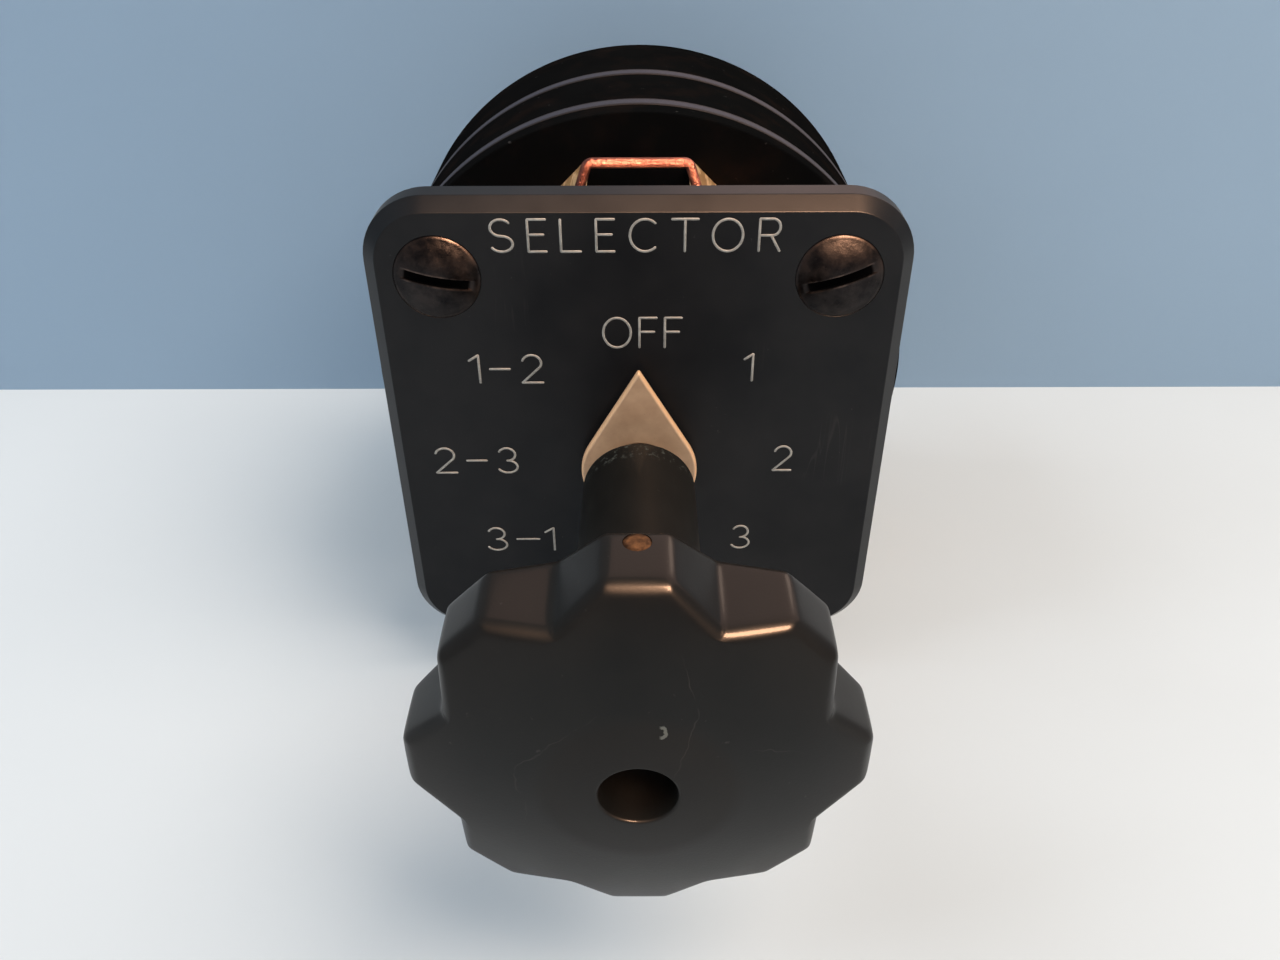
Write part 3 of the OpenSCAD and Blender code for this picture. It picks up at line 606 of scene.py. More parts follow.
BRONZE = metal("spring_copper_bronze", (0.19, 0.068, 0.056), (0.44, 0.20, 0.155), (0.26, 0.50),
               (0.13, 0.045, 0.030), per_mm=1.7, depth=1.6)
BRASS = metal("turned_brass", (0.52, 0.34, 0.12), (0.74, 0.54, 0.24), (0.2, 0.36),
              (0.34, 0.20, 0.08), per_mm=1.5)
ZINC = metal("zinc_plated_steel", (0.46, 0.46, 0.47), (0.66, 0.66, 0.67), (0.26, 0.42),
             grain=(1.0, 0.35, 1.0))
DARK_STEEL = metal("oiled_dark_steel", (0.10, 0.095, 0.09), (0.20, 0.185, 0.17), (0.3, 0.48),
                   (0.20, 0.11, 0.06), grain=(1.0, 0.3, 1.0))
SILVER = metal("contact_silver", (0.66, 0.65, 0.62), (0.86, 0.85, 0.82), (0.2, 0.35))
print("finishes:", BRONZE.name, BRASS.name, ZINC.name, DARK_STEEL.name, SILVER.name)

# %% Yellow zinc for the keepers, and old brass for the pin
PIN = span("knob_set_pin")
PIN_R = (PIN.x1 - PIN.x0) / 2
PIN_Y = (PIN.y0 + PIN.y1) / 2


def yellow_zinc():
    """Zinc under a straw chromate film that drifts in tone, with bright lines of painted highlight along
    it.
    """
    f = Finish("keeper_yellow_zinc")
    film = f.noise(0.18, 3.0, 0.5, warp=1.2)
    grain = f.noise(2.5, 4.0)
    # Bright lines in the film: painted highlight.
    highlight_streaks = f.noise(1.3, 3.0, 0.6, stretch=(1.0, 0.10, 1.0))
    colour = f.coats(
        (0.31, 0.165, 0.080), (film.ramp(0.30, 0.50), (0.43, 0.26, 0.115)),
        (film.ramp(0.50, 0.72), (0.38, 0.28, 0.13)), (highlight_streaks.ramp(0.49, 0.58) * 0.9, (0.92, 0.62, 0.34)))
    return f.done(colour, grain.ramp(0.3, 0.7, 0.36, 0.52), 0.45, grain, 0.25, 0.02)


def pin_brass():
    """Brass worn bright in the middle of the pin and black with dirt round its rim."""
    f = Finish("set_pin_old_brass")
    ragged = f.noise(1.6, 3.0).ramp(0.3, 0.7, -0.25, 0.25)
    reach = f.hypot(f.along("X"), f.along("Y") - PIN_Y) + ragged
    patches = f.noise(1.0, 4.0, 0.65)
    colour = f.coats(
        (0.07, 0.043, 0.024), (patches.ramp(0.35, 0.65), (0.17, 0.105, 0.055)),
        (reach.ramp(PIN_R * 0.62, PIN_R) * 0.85, (0.020, 0.014, 0.011)))
    return f.done(colour, patches.ramp(0.3, 0.7, 0.45, 0.60), 1.0, patches, 0.35, 0.12)


YELLOW_ZINC = yellow_zinc()
PIN_BRASS = pin_brass()
print("finishes:", YELLOW_ZINC.name, PIN_BRASS.name)

# %% Ivory for the pointer, brown laminate for the rotors, paint for the marks
POINTER_R = 7.15


def pointer_ivory():
    """Ivory moulding that age has turned tan in patches, pale orange along its rim, partly from rubbing
    and partly as a painted edge highlight.
    """
    f = Finish("pointer_aged_ivory")
    patches = f.noise(0.30, 4.0)
    grain = f.noise(4.0, 3.0, 0.6)
    lean = POINTER_R / POINTER.z1
    flank = abs(f.along("X")) * math.sqrt(1 - lean ** 2) + f.along("Z") * lean
    reach = flank.most(f.distance() * f.along("Z").fade(3.6, 3.7))
    # The pale orange rim is partly wear from rubbing and partly a painted highlight on the lit edges.
    rim_rub_and_highlight = reach.ramp(POINTER_R - 0.36, POINTER_R - 0.16)
    colour = f.coats(
        (0.46, 0.275, 0.160), (patches.ramp(0.3, 0.7), (0.60, 0.375, 0.225)),
        (grain.ramp(0.62, 0.8) * 0.35, (0.28, 0.165, 0.095)), (rim_rub_and_highlight * 0.9, (0.84, 0.49, 0.26)))
    rough = f.blend(rim_rub_and_highlight, patches.ramp(0.3, 0.7, 0.38, 0.5), 0.30)
    return f.done(colour, rough, 0.0, grain, 0.25, 0.02)


def laminate_brown():
    """Paper laminate in brown resin, whose cut edge shows its sheets."""
    f = Finish("rotor_brown_laminate")
    sheets = f.noise(4.0, 3.0, 0.6, stretch=(0.1, 1.0, 0.1))
    colour = f.coats((0.055, 0.022, 0.010), (sheets, (0.13, 0.060, 0.028)))
    return f.done(colour, sheets.ramp(0.3, 0.7, 0.38, 0.5), 0.0, sheets, 0.3, 0.03)


def mark_paint():
    """Off-white paint in the engraving, a little thin in places."""
    f = Finish("marks_filled_white")
    thick = f.noise(1.6, 4.0, 0.6).ramp(0.35, 0.7)
    colour = f.coats((0.27, 0.255, 0.225), (thick, (0.42, 0.40, 0.355)))
    return f.done(colour, 0.6, 0.0, f.noise(5.0, 2.0), 0.3, 0.02)


IVORY = pointer_ivory()
LAMINATE = laminate_brown()
MARK_WHITE = mark_paint()
print("finishes:", IVORY.name, LAMINATE.name, MARK_WHITE.name)

# %% [markdown]
# ## The escutcheon
# The escutcheon is a slab of black engraving stock with broad round corners and a 45 degree
# bevel round its front. A block has the right size at once, so its four upright edges are
# rounded first and the rim of its front is bevelled second. The screw seats are cut with
# turned tools of the same shape as the screw heads.

# %% The slab, its round corners and its bevel
PLATE = span("escutcheon_plate")
PLATE_CORNER = 7.6
PLATE_BEVEL = 1.5
plate = round_edges(block("escutcheon", *PLATE), "Y", PLATE_CORNER, 14)
edit(plate)
pick(plate, "EDGE", lambda c, e: all(near(v.co.y / MM, PLATE.y0) for v in e.verts))
bpy.ops.mesh.bevel(offset=PLATE_BEVEL * MM, segments=1, affect="EDGES")
clear()
print("escutcheon slab:", len(plate.data.polygons), "faces")

# %% Seats for the screws, and the shaft's hole
OVER = 1.0
HEAD_R = 4.9
NECK_R = 2.65
SEAT_R = NECK_R + 0.06
SEAT_SLOPE = math.tan(math.radians(41.0))
SEAT_END = PLATE.y0 + (HEAD_R - NECK_R) / SEAT_SLOPE
SHAFT_HOLE_R = 5.4
SCREWS = [(-22.6, 24.9), (22.6, 24.9), (0.0, -19.9)]
seat = [(0, PLATE.y0 - OVER), (HEAD_R - NECK_R + SEAT_R + SEAT_SLOPE * OVER, PLATE.y0 - OVER),
        (SEAT_R, SEAT_END), (SEAT_R, PLATE.y1 + OVER), (0, PLATE.y1 + OVER)]
cut(plate, spots("seats", SCREWS, lambda i: turned("seat", seat, 80)),
    rod("shaft_hole", SHAFT_HOLE_R, PLATE.y0 - OVER, PLATE.y1 + OVER))
soften(plate, 0.42, 4)
place(plate, BLACK_PLATE, "black_enamel", "escutcheon_plate")

# %% [markdown]
# ## The dial marks
# The marks are cut with a pantograph and filled with paint, so every letter is one line of
# even width with round ends. Such a line is drawn as a curve with a round section. Most of
# it is sunk in the plate, and only a low bead stands out, as dried paint does.

# %% A single-line alphabet
STROKE = 0.44
BEAD_SUNK = 0.155


def arc(cx, cz, rx, rz, start, end, count=14):
    """Points on an ellipse, angles counted from the right and towards the top."""
    steps = [math.radians(start + (end - start) * i / count) for i in range(count + 1)]
    return [(cx + rx * math.cos(a), cz + rz * math.sin(a)) for a in steps]


# Each glyph is drawn in a box one wide and one high
GLYPHS = {
    "S": [arc(0.50, 0.745, 0.46, 0.255, 35, 270) + arc(0.50, 0.245, 0.50, 0.245, 90, -150)],
    "E": [[(1, 1), (0, 1), (0, 0), (1, 0)], [(0, 0.53), (0.86, 0.53)]],
    "L": [[(0, 1), (0, 0), (1, 0)]],
    "C": [arc(0.54, 0.5, 0.54, 0.5, 48, 312, 26)],
    "T": [[(0, 1), (1, 1)], [(0.5, 1), (0.5, 0)]],
    "O": [arc(0.5, 0.5, 0.5, 0.5, 90, 450, 36)],
    "R": [[(0, 0), (0, 1), (0.62, 1)] + arc(0.62, 0.745, 0.36, 0.255, 80, -80, 10)
          + [(0.62, 0.49), (0, 0.49)], [(0.56, 0.49), (1, 0)]],
    "F": [[(1, 1), (0, 1), (0, 0)], [(0, 0.53), (0.86, 0.53)]],
    "1": [[(0, 0.80), (1, 1), (1, 0)]],
    "2": [arc(0.49, 0.72, 0.45, 0.28, 165, -32) + [(0, 0), (1, 0)]],
    "3": [arc(0.47, 0.745, 0.42, 0.255, 155, -90) + arc(0.47, 0.25, 0.50, 0.25, 90, -155)],
    "-": [[(0, 0.5), (1, 0.5)]],
}

# Each row has its foot and head, and each of its marks is (glyph, left, right), all in mm
ROWS = [
    (27.95, 31.65, [("S", -16.3, -13.8), ("E", -12.1, -10.1), ("L", -8.5, -6.3), ("E", -4.6, -2.6),
                    ("C", -0.9, 2.2), ("T", 3.7, 6.6), ("O", 8.2, 11.5), ("R", 13.3, 15.6)]),
    (16.05, 19.85, [("O", -4.1, -0.9), ("F", 0.1, 2.1), ("F", 3.05, 5.0)]),
    (11.35, 15.05, [("1", -20.1, -18.95), ("-", -17.7, -15.3), ("2", -13.9, -11.4)]),
    (-1.75, 1.95, [("2", -25.7, -23.1), ("-", -21.7, -19.2), ("3", -17.8, -15.3)]),
    (-14.35, -10.65, [("3", -20.2, -17.6), ("-", -16.3, -13.3), ("1", -12.5, -11.35)]),
    (11.55, 15.15, [("1", 12.5, 13.5)]),
    (-1.45, 2.15, [("2", 16.9, 19.2)]),
    (-14.05, -10.35, [("3", 12.2, 14.6)]),
]

# %% Draw the marks as one curve and make it a mesh
# The cutter lifts at a sharp turn, and each end of a line thins as (step out, thickness)
SHARP_TURN = math.radians(50.0)
END_THINS = ((0.5, 0.72), (0.82, 0.45), (1.0, 0.05))


def round_end(end, inner):
    """The points that round off a line beyond its end, as (x, z, thickness)."""
    away = (Vector(end) - Vector(inner)).normalized() * STROKE / 2
    return [(*(Vector(end) + away * out), thick) for out, thick in END_THINS]


def straight_runs(points):
    """Splits a stroke where it turns sharply, as the cutter stops there and sets off again."""
    runs = [[points[0]]]
    for before, point, after in zip(points, points[1:], points[2:]):
        runs[-1].append(point)
        came = math.atan2(point[1] - before[1], point[0] - before[0])
        goes = math.atan2(after[1] - point[1], after[0] - point[0])
        if abs(math.remainder(goes - came, math.tau)) > SHARP_TURN:
            runs.append([point])
    runs[-1].append(points[-1])
    return runs


def add_line(curve, path, ring):
    """One line of the drawing through (x, z, thickness)."""
    spline = curve.splines.new("POLY")
    spline.points.add(len(path) - 1)
    spline.use_cyclic_u = ring
    for point, (x, z, thick) in zip(spline.points, path):
        point.co = (x * MM, (PLATE.y0 + BEAD_SUNK) * MM, z * MM, 1.0)
        point.radius = thick


clear()
bpy.ops.curve.primitive_bezier_curve_add()
drawing = bpy.context.object.data
drawing.splines.clear()
for foot, head, row in ROWS:
    for glyph, left, right in row:
        for stroke in GLYPHS[glyph]:
            points = [(left + x * (right - left), foot + z * (head - foot)) for x, z in stroke]
            if glyph == "O":
                add_line(drawing, [(x, z, 1.0) for x, z in points[:-1]], True)
                continue
            for run in straight_runs(points):
                line = [(x, z, 1.0) for x, z in run]
                add_line(drawing, round_end(*run[:2])[::-1] + line + round_end(*run[:-3:-1]), False)
thicken(drawing, STROKE / 2, 3)
marks = heal(named("dial_marks"))
hold(marks)
bpy.ops.object.shade_smooth()
place(marks, MARK_WHITE, "black_enamel")

# %% [markdown]
# ## The mounting screws
# Oval heads stand a little proud of the plate, and each slot was left where the driver
# stopped. A screw is turned from its profile, slotted and softened. The heads were
# blackened, and the finish finds their rims and slots by distance, to rub them back to brown,
# with a painted highlight on the slots' lips and painted shade inside the slots.

# %% Turn, slot and copy the screws
GAP_R = 2.4
THREAD_R = 2.15
HEAD_DOME = 1.3
SLOT_W = 1.15
SLOT_FLOOR = -0.40
SLOT_TURNS = [11.0, -18.0, 62.0]
MOUNT = span("mounting_plate")
SCREW_END = span("mounting_screws").y1
HEAD_TOP = PLATE.y0 - HEAD_DOME
dome_r = (HEAD_R ** 2 + HEAD_DOME ** 2) / (2 * HEAD_DOME)


def dome(r):
    """A point (r, place along Y) on the oval head's surface."""
    return r, HEAD_TOP + dome_r - math.sqrt(dome_r ** 2 - r ** 2)


def threads(r, y0, y1, pitch=0.8, depth=0.25):
    """The profile of a thread along a stem, root and crest by turns."""
    count = int((y1 - y0) / pitch)
    points = []
    for i in range(count):
        y = y0 + i * (y1 - y0) / count
        points += [(r - depth, y + 0.1 * pitch), (r, y + 0.45 * pitch), (r, y + 0.6 * pitch)]
    return points + [(r - depth, y1 - 0.05)]


screw_profile = [dome(HEAD_R * t) for t in (0, 0.15, 0.3, 0.45, 0.6, 0.72, 0.84, 0.93)]
screw_profile += [(HEAD_R - 0.08, PLATE.y0 - 0.10), (HEAD_R, PLATE.y0), (HEAD_R - 0.04, PLATE.y0 + 0.08)]
screw_profile += [(NECK_R, SEAT_END), (NECK_R, PLATE.y1), (GAP_R, PLATE.y1 + 0.01), (GAP_R, MOUNT.y0),
                  (THREAD_R, MOUNT.y0 + 0.01)]
screw_profile += threads(THREAD_R, MOUNT.y1 + 0.1, SCREW_END) + [(0, SCREW_END)]


def slot_tool(half_length, y0, y1, width, turn=0.0):
    """A blade that cuts a driver's slot, turned to its own angle."""
    return moved(block("slot", -half_length, half_length, y0, y1, -width / 2, width / 2), turn=turn)


def head_screw(i):
    """One oval-head screw on the axis. It is slotted and softened before it is turned."""
    screw = turned("screw", screw_profile, 96)
    cut(screw, slot_tool(HEAD_R + OVER, HEAD_TOP - OVER, PLATE.y0 + SLOT_FLOOR, SLOT_W))
    soften(screw, 0.09, 2, 38.0, 34.0)
    return moved(screw, turn=SLOT_TURNS[i])


# %% Blackened steel for the heads


def head_screw_steel():
    """Blackened heads, brown where a driver and fingers have worn the rims of head and slot, with a
    painted highlight on the slot's lips and painted shade down in the slot.
    """
    f = Finish("head_screw_blackened")
    patches = f.noise(0.55, 4.0, 0.6)
    grain = f.noise(2.6, 4.0, 0.65)
    worn, painted_shades = [], []
    for (x, z), turn in zip(SCREWS, map(math.radians, SLOT_TURNS)):
        off_slot = abs((f.along("X") - x) * math.sin(turn) + (f.along("Z") - z) * math.cos(turn))
        reach = f.distance(x, z)
        on_head = reach.fade(HEAD_R + 0.1, HEAD_R + 0.2)
        # Brown along the slot's lips: driver wear, and also a painted highlight on the lips' edges; worn
        # gathers it with the rim's wear.
        lip_wear_and_highlight = off_slot.band(SLOT_W / 2, 0.10, 0.12) * reach.fade(3.4, 4.2)
        worn.append(lip_wear_and_highlight.most(reach.ramp(HEAD_R - 0.35, HEAD_R - 0.10, 0.0, 0.3)) * on_head)
        # Inside each slot the head is painted near black: painted shade in the recess.
        below = f.along("Y") - reach * reach * (HEAD_DOME / HEAD_R ** 2)
        slot = off_slot.fade(SLOT_W / 2 + 0.03, SLOT_W / 2 + 0.06)
        painted_shades.append(slot * below.ramp(HEAD_TOP + 0.10, HEAD_TOP + 0.22) * on_head)
    painted_shade = painted_shades[0].most(painted_shades[1]).most(painted_shades[2])
    uneven = worn[0].most(worn[1]).most(worn[2]) * f.noise(0.45, 3.0).ramp(0.42, 0.60, 0.1, 1.0)
    flecks = grain.ramp(0.62, 0.74) * 0.25
    colour = f.coats(
        (0.014, 0.013, 0.0135), (patches.ramp(0.35, 0.65), (0.031, 0.028, 0.0275)),
        (uneven.most(flecks), (0.095, 0.072, 0.062)), (painted_shade, (0.003, 0.0026, 0.0026)))
    rough = patches.ramp(0.3, 0.7, 0.26, 0.42).most(painted_shade * 0.8)
    return f.done(colour, rough, painted_shade.fade(0.0, 1.0), grain, 0.5, 0.05, Specular_IOR_Level=0.0)


place(spots("oval_head_screws", SCREWS, head_screw), head_screw_steel(), "dark_steel", "mounting_screws")

# %% [markdown]
# ## The knob
# The knob is one moulding: a crowned face, eight lobes with flat crests, V flutes, a coned
# back, a bell and a long hub. A circle of 24 points gives every eighth part its crest's two
# corners and its valley. The ring is extruded again and again, round the rim, down the
# face's hole, back through the bore and along the hub, until it meets itself. Bevels then
# round the edges, and a subdivision surface makes the curves smooth.

# %% The ring of 24 points
SHAFT = span("operating_shaft")
FACE_HOLE_R = 3.44
BORE_R = 3.2
LOBE_R = 20.98
VALLEY_R = 17.9
CREST_R = 20.8
CROWN_R = 60.0
BACK_SLOPE = math.radians(27.0)
HUB_R = 6.9
HUB_END_R = 6.75
HUB_END = POINTER.y0 - 3.8
NECK_OF_HUB_R = 4.3
SPIGOT_R = 4.0
BELL_R = 7.0
HUB_WAIST_R = 6.83
HUB_WAIST_Y = -22.0
FACE_RINGS = (15.4, 10.5, 6.0)
BACK_RING = 14.4
ROUND_LOSS = 1.0115


def crown(r):
    """Place along Y of the crowned face at radius r. The face begins at its hole's rim."""
    return KNOB.y0 + math.sqrt(CROWN_R ** 2 - FACE_HOLE_R ** 2) - math.sqrt(CROWN_R ** 2 - r ** 2)


CREST_REAR = crown(CREST_R) + 6.9


def back(r):
    """Place along Y of the coned back at radius r."""
    return CREST_REAR + (CREST_R - r) * math.tan(BACK_SLOPE)


def is_valley(point):
    """True for a point whose angle is midway between two lobes."""
    angle = math.degrees(math.atan2(point.x, point.z)) % 45.0
    return abs(angle - 22.5) < 3.0


clear()
bpy.ops.mesh.primitive_circle_add(vertices=24, radius=LOBE_R * MM, rotation=(math.pi / 2, 0, 0))
knob = moved(named("knob_moulding"), turn=7.5)


def choose(indices):
    """In edit mode, selects the knob's points with these numbers, and gives their places."""
    bpy.ops.mesh.select_all(action="DESELECT")
    mesh = bmesh.from_edit_mesh(knob.data)
    mesh.verts.ensure_lookup_table()
    for i in indices:
        mesh.verts[i].select_set(True)
    mesh.select_flush_mode()
    bmesh.update_edit_mesh(knob.data)
    return [mesh.verts[i].co.copy() for i in indices]


def shape_ring(crest, valley):
    """Moves the selected ring's crest and valley points to their (radius, place along Y)."""
    ring = [v for v in bmesh.from_edit_mesh(knob.data).verts if v.select]
    halves = [[v.index for v in ring if is_valley(v.co) == wanted] for wanted in (False, True)]
    for chosen, (r, y) in zip(halves, (crest, valley)):
        now = choose(chosen)[0]
        scale = r / (round_from(now) / MM)
        bpy.ops.transform.resize(value=(scale, 1.0, scale))
        slide(0.0, y - now.y / MM, 0.0)
    choose(sorted(halves[0] + halves[1]))


# %% Extrude the ring round the whole section
def plain(r, *places):
    """Round rings of one radius at some places along Y. A smooth skin draws in, so they are wider."""
    return [((r * ROUND_LOSS, y),) * 2 for y in places]


def on_cone(r, y):
    """A ring whose crests and valleys are alike."""
    return ((r, y),) * 2


def bell(angle):
    """A point of the bell, from the back's slope to the hub."""
    return HUB_R + BELL_R * (1 - math.sin(angle)), bell_end - BELL_R * math.cos(angle)


bell_start = HUB_R + BELL_R * (1 - math.sin(BACK_SLOPE))
bell_end = back(bell_start) + BELL_R * math.cos(BACK_SLOPE)
rim = ((LOBE_R, crown(LOBE_R)), (VALLEY_R, crown(VALLEY_R)))
rings = [on_cone(r, crown(r)) for r in FACE_RINGS]
rings += plain(FACE_HOLE_R, crown(FACE_HOLE_R), SHAFT.y0 - 0.3, SHAFT.y0)
rings += plain(BORE_R, SHAFT.y0 + 0.02, SHAFT.y0 + 0.4, POINTER.y1 - 0.4, POINTER.y1)
rings += plain(SPIGOT_R, POINTER.y1, POINTER.y0)
rings += plain(NECK_OF_HUB_R, POINTER.y0 + 0.01, HUB_END)
rings += plain(HUB_END_R, HUB_END + 0.01) + plain(HUB_WAIST_R, HUB_WAIST_Y)
for i in (4, 3, 2, 1, 0):
    rings += plain(*bell(BACK_SLOPE + (math.pi / 2 - BACK_SLOPE) * i / 4))
rings += [on_cone(BACK_RING, back(BACK_RING)), ((LOBE_R, CREST_REAR), (VALLEY_R, back(VALLEY_R))), rim]

edit(knob)
bpy.ops.mesh.select_all(action="SELECT")
shape_ring(*rim)
for ring in rings:
    draw_out(0.0, 0.1, 0.0)
    shape_ring(*ring)
heal(knob)
print("knob cage:", len(knob.data.polygons), "faces")

# %% Round its edges, each by its own amount
RIM_ROUND = 1.3


def edge_weight(a, b):
    """How much of the rim's rounding an edge of the cage gets, 0 to 1."""
    ya, yb, ra, rb = a.y / MM, b.y / MM, round_from(a) / MM, round_from(b) / MM
    if min(ra, rb) > VALLEY_R - 0.3:
        if abs(ra - rb) < 0.05 and abs(ya - yb) > 3.0:
            return 0.55 if is_valley(a) else 0.60
        return 1.0 if max(ya, yb) < crown(VALLEY_R) + 1.3 else 0.7
    if near(ra, rb, 0.05) and near(ya, yb, 0.05):
        if near(ra, FACE_HOLE_R * ROUND_LOSS, 0.05) and ya < SHAFT.y0 - 1:
            return 0.25
        if near(ya, SHAFT.y0, 0.1) or near(ya, POINTER.y1, 0.05) or near(ya, POINTER.y0, 0.05):
            return 0.08
        if near(ya, HUB_END, 0.05):
            return 0.12 if ra > 6 else 0.08
    return 0.0


weights = knob.data.attributes.new("bevel_weight_edge", "FLOAT", "EDGE")
for edge, weight in zip(knob.data.edges, weights.data):
    weight.value = edge_weight(*(knob.data.vertices[i].co for i in edge.vertices))
apply(knob, "BEVEL", width=RIM_ROUND * MM, segments=4, limit_method="WEIGHT")
apply(knob, "SUBSURF", levels=2, render_levels=2)

# %% The set pin and its hole in the top crest
PIN_SLACK = 0.015
PIN_INSET = 0.45
PIN_CROWN = 0.07


def upright(name, r, z0, z1):
    """A round bar along Z, at the pin's place."""
    clear()
    bpy.ops.mesh.primitive_cylinder_add(vertices=48, radius=r * MM, depth=(z1 - z0) * MM,
                                        location=(0, PIN_Y * MM, (z0 + z1) / 2 * MM))
    return named(name)


cut(knob, upright("pin_hole", PIN_R + PIN_SLACK, PIN.z1 - 3.0, KNOB.z1 + OVER))
polish(knob, 40.0)
place(knob, BLACK_KNOB, "phenolic", "knob", body=ROTOR)

pin = upright("brass_set_pin", PIN_R, PIN.z0, PIN.z1)
edit(pin)
pick(pin, "FACE", lambda c, f: near(c.z, PIN.z1))
bpy.ops.mesh.inset(thickness=PIN_INSET * MM)
slide(0.0, 0.0, PIN_CROWN)
clear()
soften(pin, 0.05, 2)
place(pin, PIN_BRASS, "brass", "knob_set_pin", body=ROTOR)

# %% [markdown]
# ## The pointer
# A flat ivory teardrop sits under the hub. It starts as a disc. All points of the disc that
# lie between the two flanks' tangent points are merged to one, which is drawn out to the tip.

# %% Disc, tip, thickness and a fine bevel
tangent = math.acos(POINTER_R / POINTER.z1)
clear()
bpy.ops.mesh.primitive_circle_add(vertices=120, radius=POINTER_R * MM, fill_type="NGON",
                                  location=(0, POINTER.y1 * MM, 0), rotation=(math.pi / 2, 0, 0))
pointer = named("pointer_teardrop")
edit(pointer)
pick(pointer, "VERT", lambda c, v: abs(math.atan2(c.x, c.z)) < tangent - 0.01)
bpy.ops.mesh.merge(type="CENTER")
tip = next(v for v in bmesh.from_edit_mesh(pointer.data).verts if v.select)
slide(0.0, 0.0, POINTER.z1 - tip.co.z / MM)
bpy.ops.mesh.select_all(action="SELECT")
draw_out(0.0, POINTER.y0 - POINTER.y1, 0.0)
heal(pointer)
cut(pointer, rod("spigot_hole", SPIGOT_R + 0.02, POINTER.y0 - OVER, POINTER.y1 + OVER))
soften(pointer, 0.42, 4, 25.0)
place(pointer, IVORY, "ivory_plastic", "pointer", body=ROTOR)

# %% [markdown]
# ## The shaft and what turns with it
# The shaft is ground round in front and behind, and square between, where the star wheel,
# the stop arm and the stage rotors are stacked on it. It is built from a turned front, a
# sawn square and a turned journal, welded together.

# %% The shaft
SHAFT_R = 3.17
SHAFT_SQUARE = 6.3
JOURNAL_R = 2.5
BUSH = span("shaft_bushing")
REAR_BUSH = span("rear_bushing")
RING = span("retaining_ring")
shoulder = BUSH.y1 + 0.3
journal = REAR_BUSH.y0 - 0.6
front_stem = turned("shaft_front", [
    (0, SHAFT.y0 + 0.5), (0.7, SHAFT.y0), (SHAFT_R - 0.3, SHAFT.y0), (SHAFT_R, SHAFT.y0 + 0.3),
    (SHAFT_R, shoulder + 0.5), (0, shoulder + 0.5)], 64)
rear_stem = turned("shaft_rear", [
    (0, journal - 0.5), (JOURNAL_R, journal - 0.5), (JOURNAL_R, RING.y0), (JOURNAL_R - 0.4, RING.y0),
    (JOURNAL_R - 0.4, RING.y1), (JOURNAL_R, RING.y1), (JOURNAL_R, SHAFT.y1 - 0.3),
    (JOURNAL_R - 0.3, SHAFT.y1), (0.7, SHAFT.y1), (0, SHAFT.y1 - 0.5)], 64)


def square(name, side, y0, y1):
    """A square bar along the shaft's axis."""
    return block(name, -side / 2, side / 2, y0, y1, -side / 2, side / 2)


shaft = square("shaft", SHAFT_SQUARE, shoulder, journal)
weld(shaft, front_stem, rear_stem)
soften(shaft, 0.06, 2)
place(shaft, ZINC, "zinc_plate", "operating_shaft", body=ROTOR)

# %% The star wheel and the stop arm
STAR = span("star_wheel")
ARM = span("stop_arm")
STAR_TIP = 14.6
STAR_VALLEY = 12.4
STAR_T = 4.0
STACK_R = 5.6
SQUARE_HOLE = 6.32
ARM_HALF = 2.5


star = prism("detent_star", 16, STAR_TIP, STAR.y0, STAR.y0 + STAR_T)
edit(star)
pick(star, "VERT", lambda c, v: near(math.remainder(math.degrees(math.atan2(c.x, c.z)), 45.0), 0.0, 2.0))
bpy.ops.transform.resize(value=(STAR_VALLEY / STAR_TIP, 1.0, STAR_VALLEY / STAR_TIP))
round_edges(star, "Y", 0.8, 4, lambda middle: round_from(middle) > STAR_TIP - 0.2)
round_edges(star, "Y", 0.9, 5, lambda middle: near(round_from(middle), STAR_VALLEY, 0.2))
weld(star, rod("star_hub", STACK_R, STAR.y0 + STAR_T - 0.5, ARM.y0))
arm = block("stop_arm_blade", -ARM_HALF, ARM_HALF, ARM.y0, ARM.y1, ARM.z0, 0.0)
weld(arm, rod("arm_hub", STACK_R, ARM.y0, ARM.y1))
for obj, y0, y1, edge, node in ((star, STAR.y0, ARM.y0, 0.16, "star_wheel"),
                                (arm, ARM.y0, ARM.y1, 0.2, "stop_arm")):
    cut(obj, square("square", SQUARE_HOLE, y0 - OVER, y1 + OVER))
    soften(obj, edge, 2)
    place(obj, DARK_STEEL, "dark_steel", node, body=ROTOR)

# %% The end washer and the open ring on the rear journal
WASHER = span("thrust_washer")
MOUTH_HALF = 2.05
washer = collar("end_washer", JOURNAL_R + 0.02, WASHER.x1, WASHER.y0, WASHER.y1, 0.06)
polish(washer)
place(washer, ZINC, "zinc_plate", "thrust_washer", body=ROTOR)
clip = collar("open_ring", JOURNAL_R - 0.38, RING.x1, RING.y0, RING.y1, 0.05)
cut(clip, block("mouth", -MOUTH_HALF, MOUTH_HALF, RING.y0 - OVER, RING.y1 + OVER, RING.z0 - OVER, 0.0))
soften(clip, 0.10, 2)
place(clip, DARK_STEEL, "dark_steel", "retaining_ring", body=ROTOR)

# %% [markdown]
# ## The detent spring and its keepers
# The spring is one round wire, bent like a hat, whose two noses pinch the star wheel. Its
# middle line is drawn as a chain of points, each extruded from the last. The corners are
# bevelled into bends, the chain becomes a curve, and the curve gets a round section.

# %% Bend the wire
SPRING = span("detent_spring")
WIRE_R = (SPRING.y1 - SPRING.y0) / 2
WIRE_Y = (SPRING.y1 + SPRING.y0) / 2
WIRE_TOP = SPRING.z1 - WIRE_R
SPRING_HALF = 6.1
SPRING_SPREAD = 16.9
NOSE_HALF = 3.4
NOSE_X = 12.7 + WIRE_R
SPRING_FOOT = -6.0


def arm_point(z):
    """Where a spring arm's middle line is at height z."""
    return SPRING_HALF + (WIRE_TOP - z) * (SPRING_SPREAD - SPRING_HALF) / WIRE_TOP, z


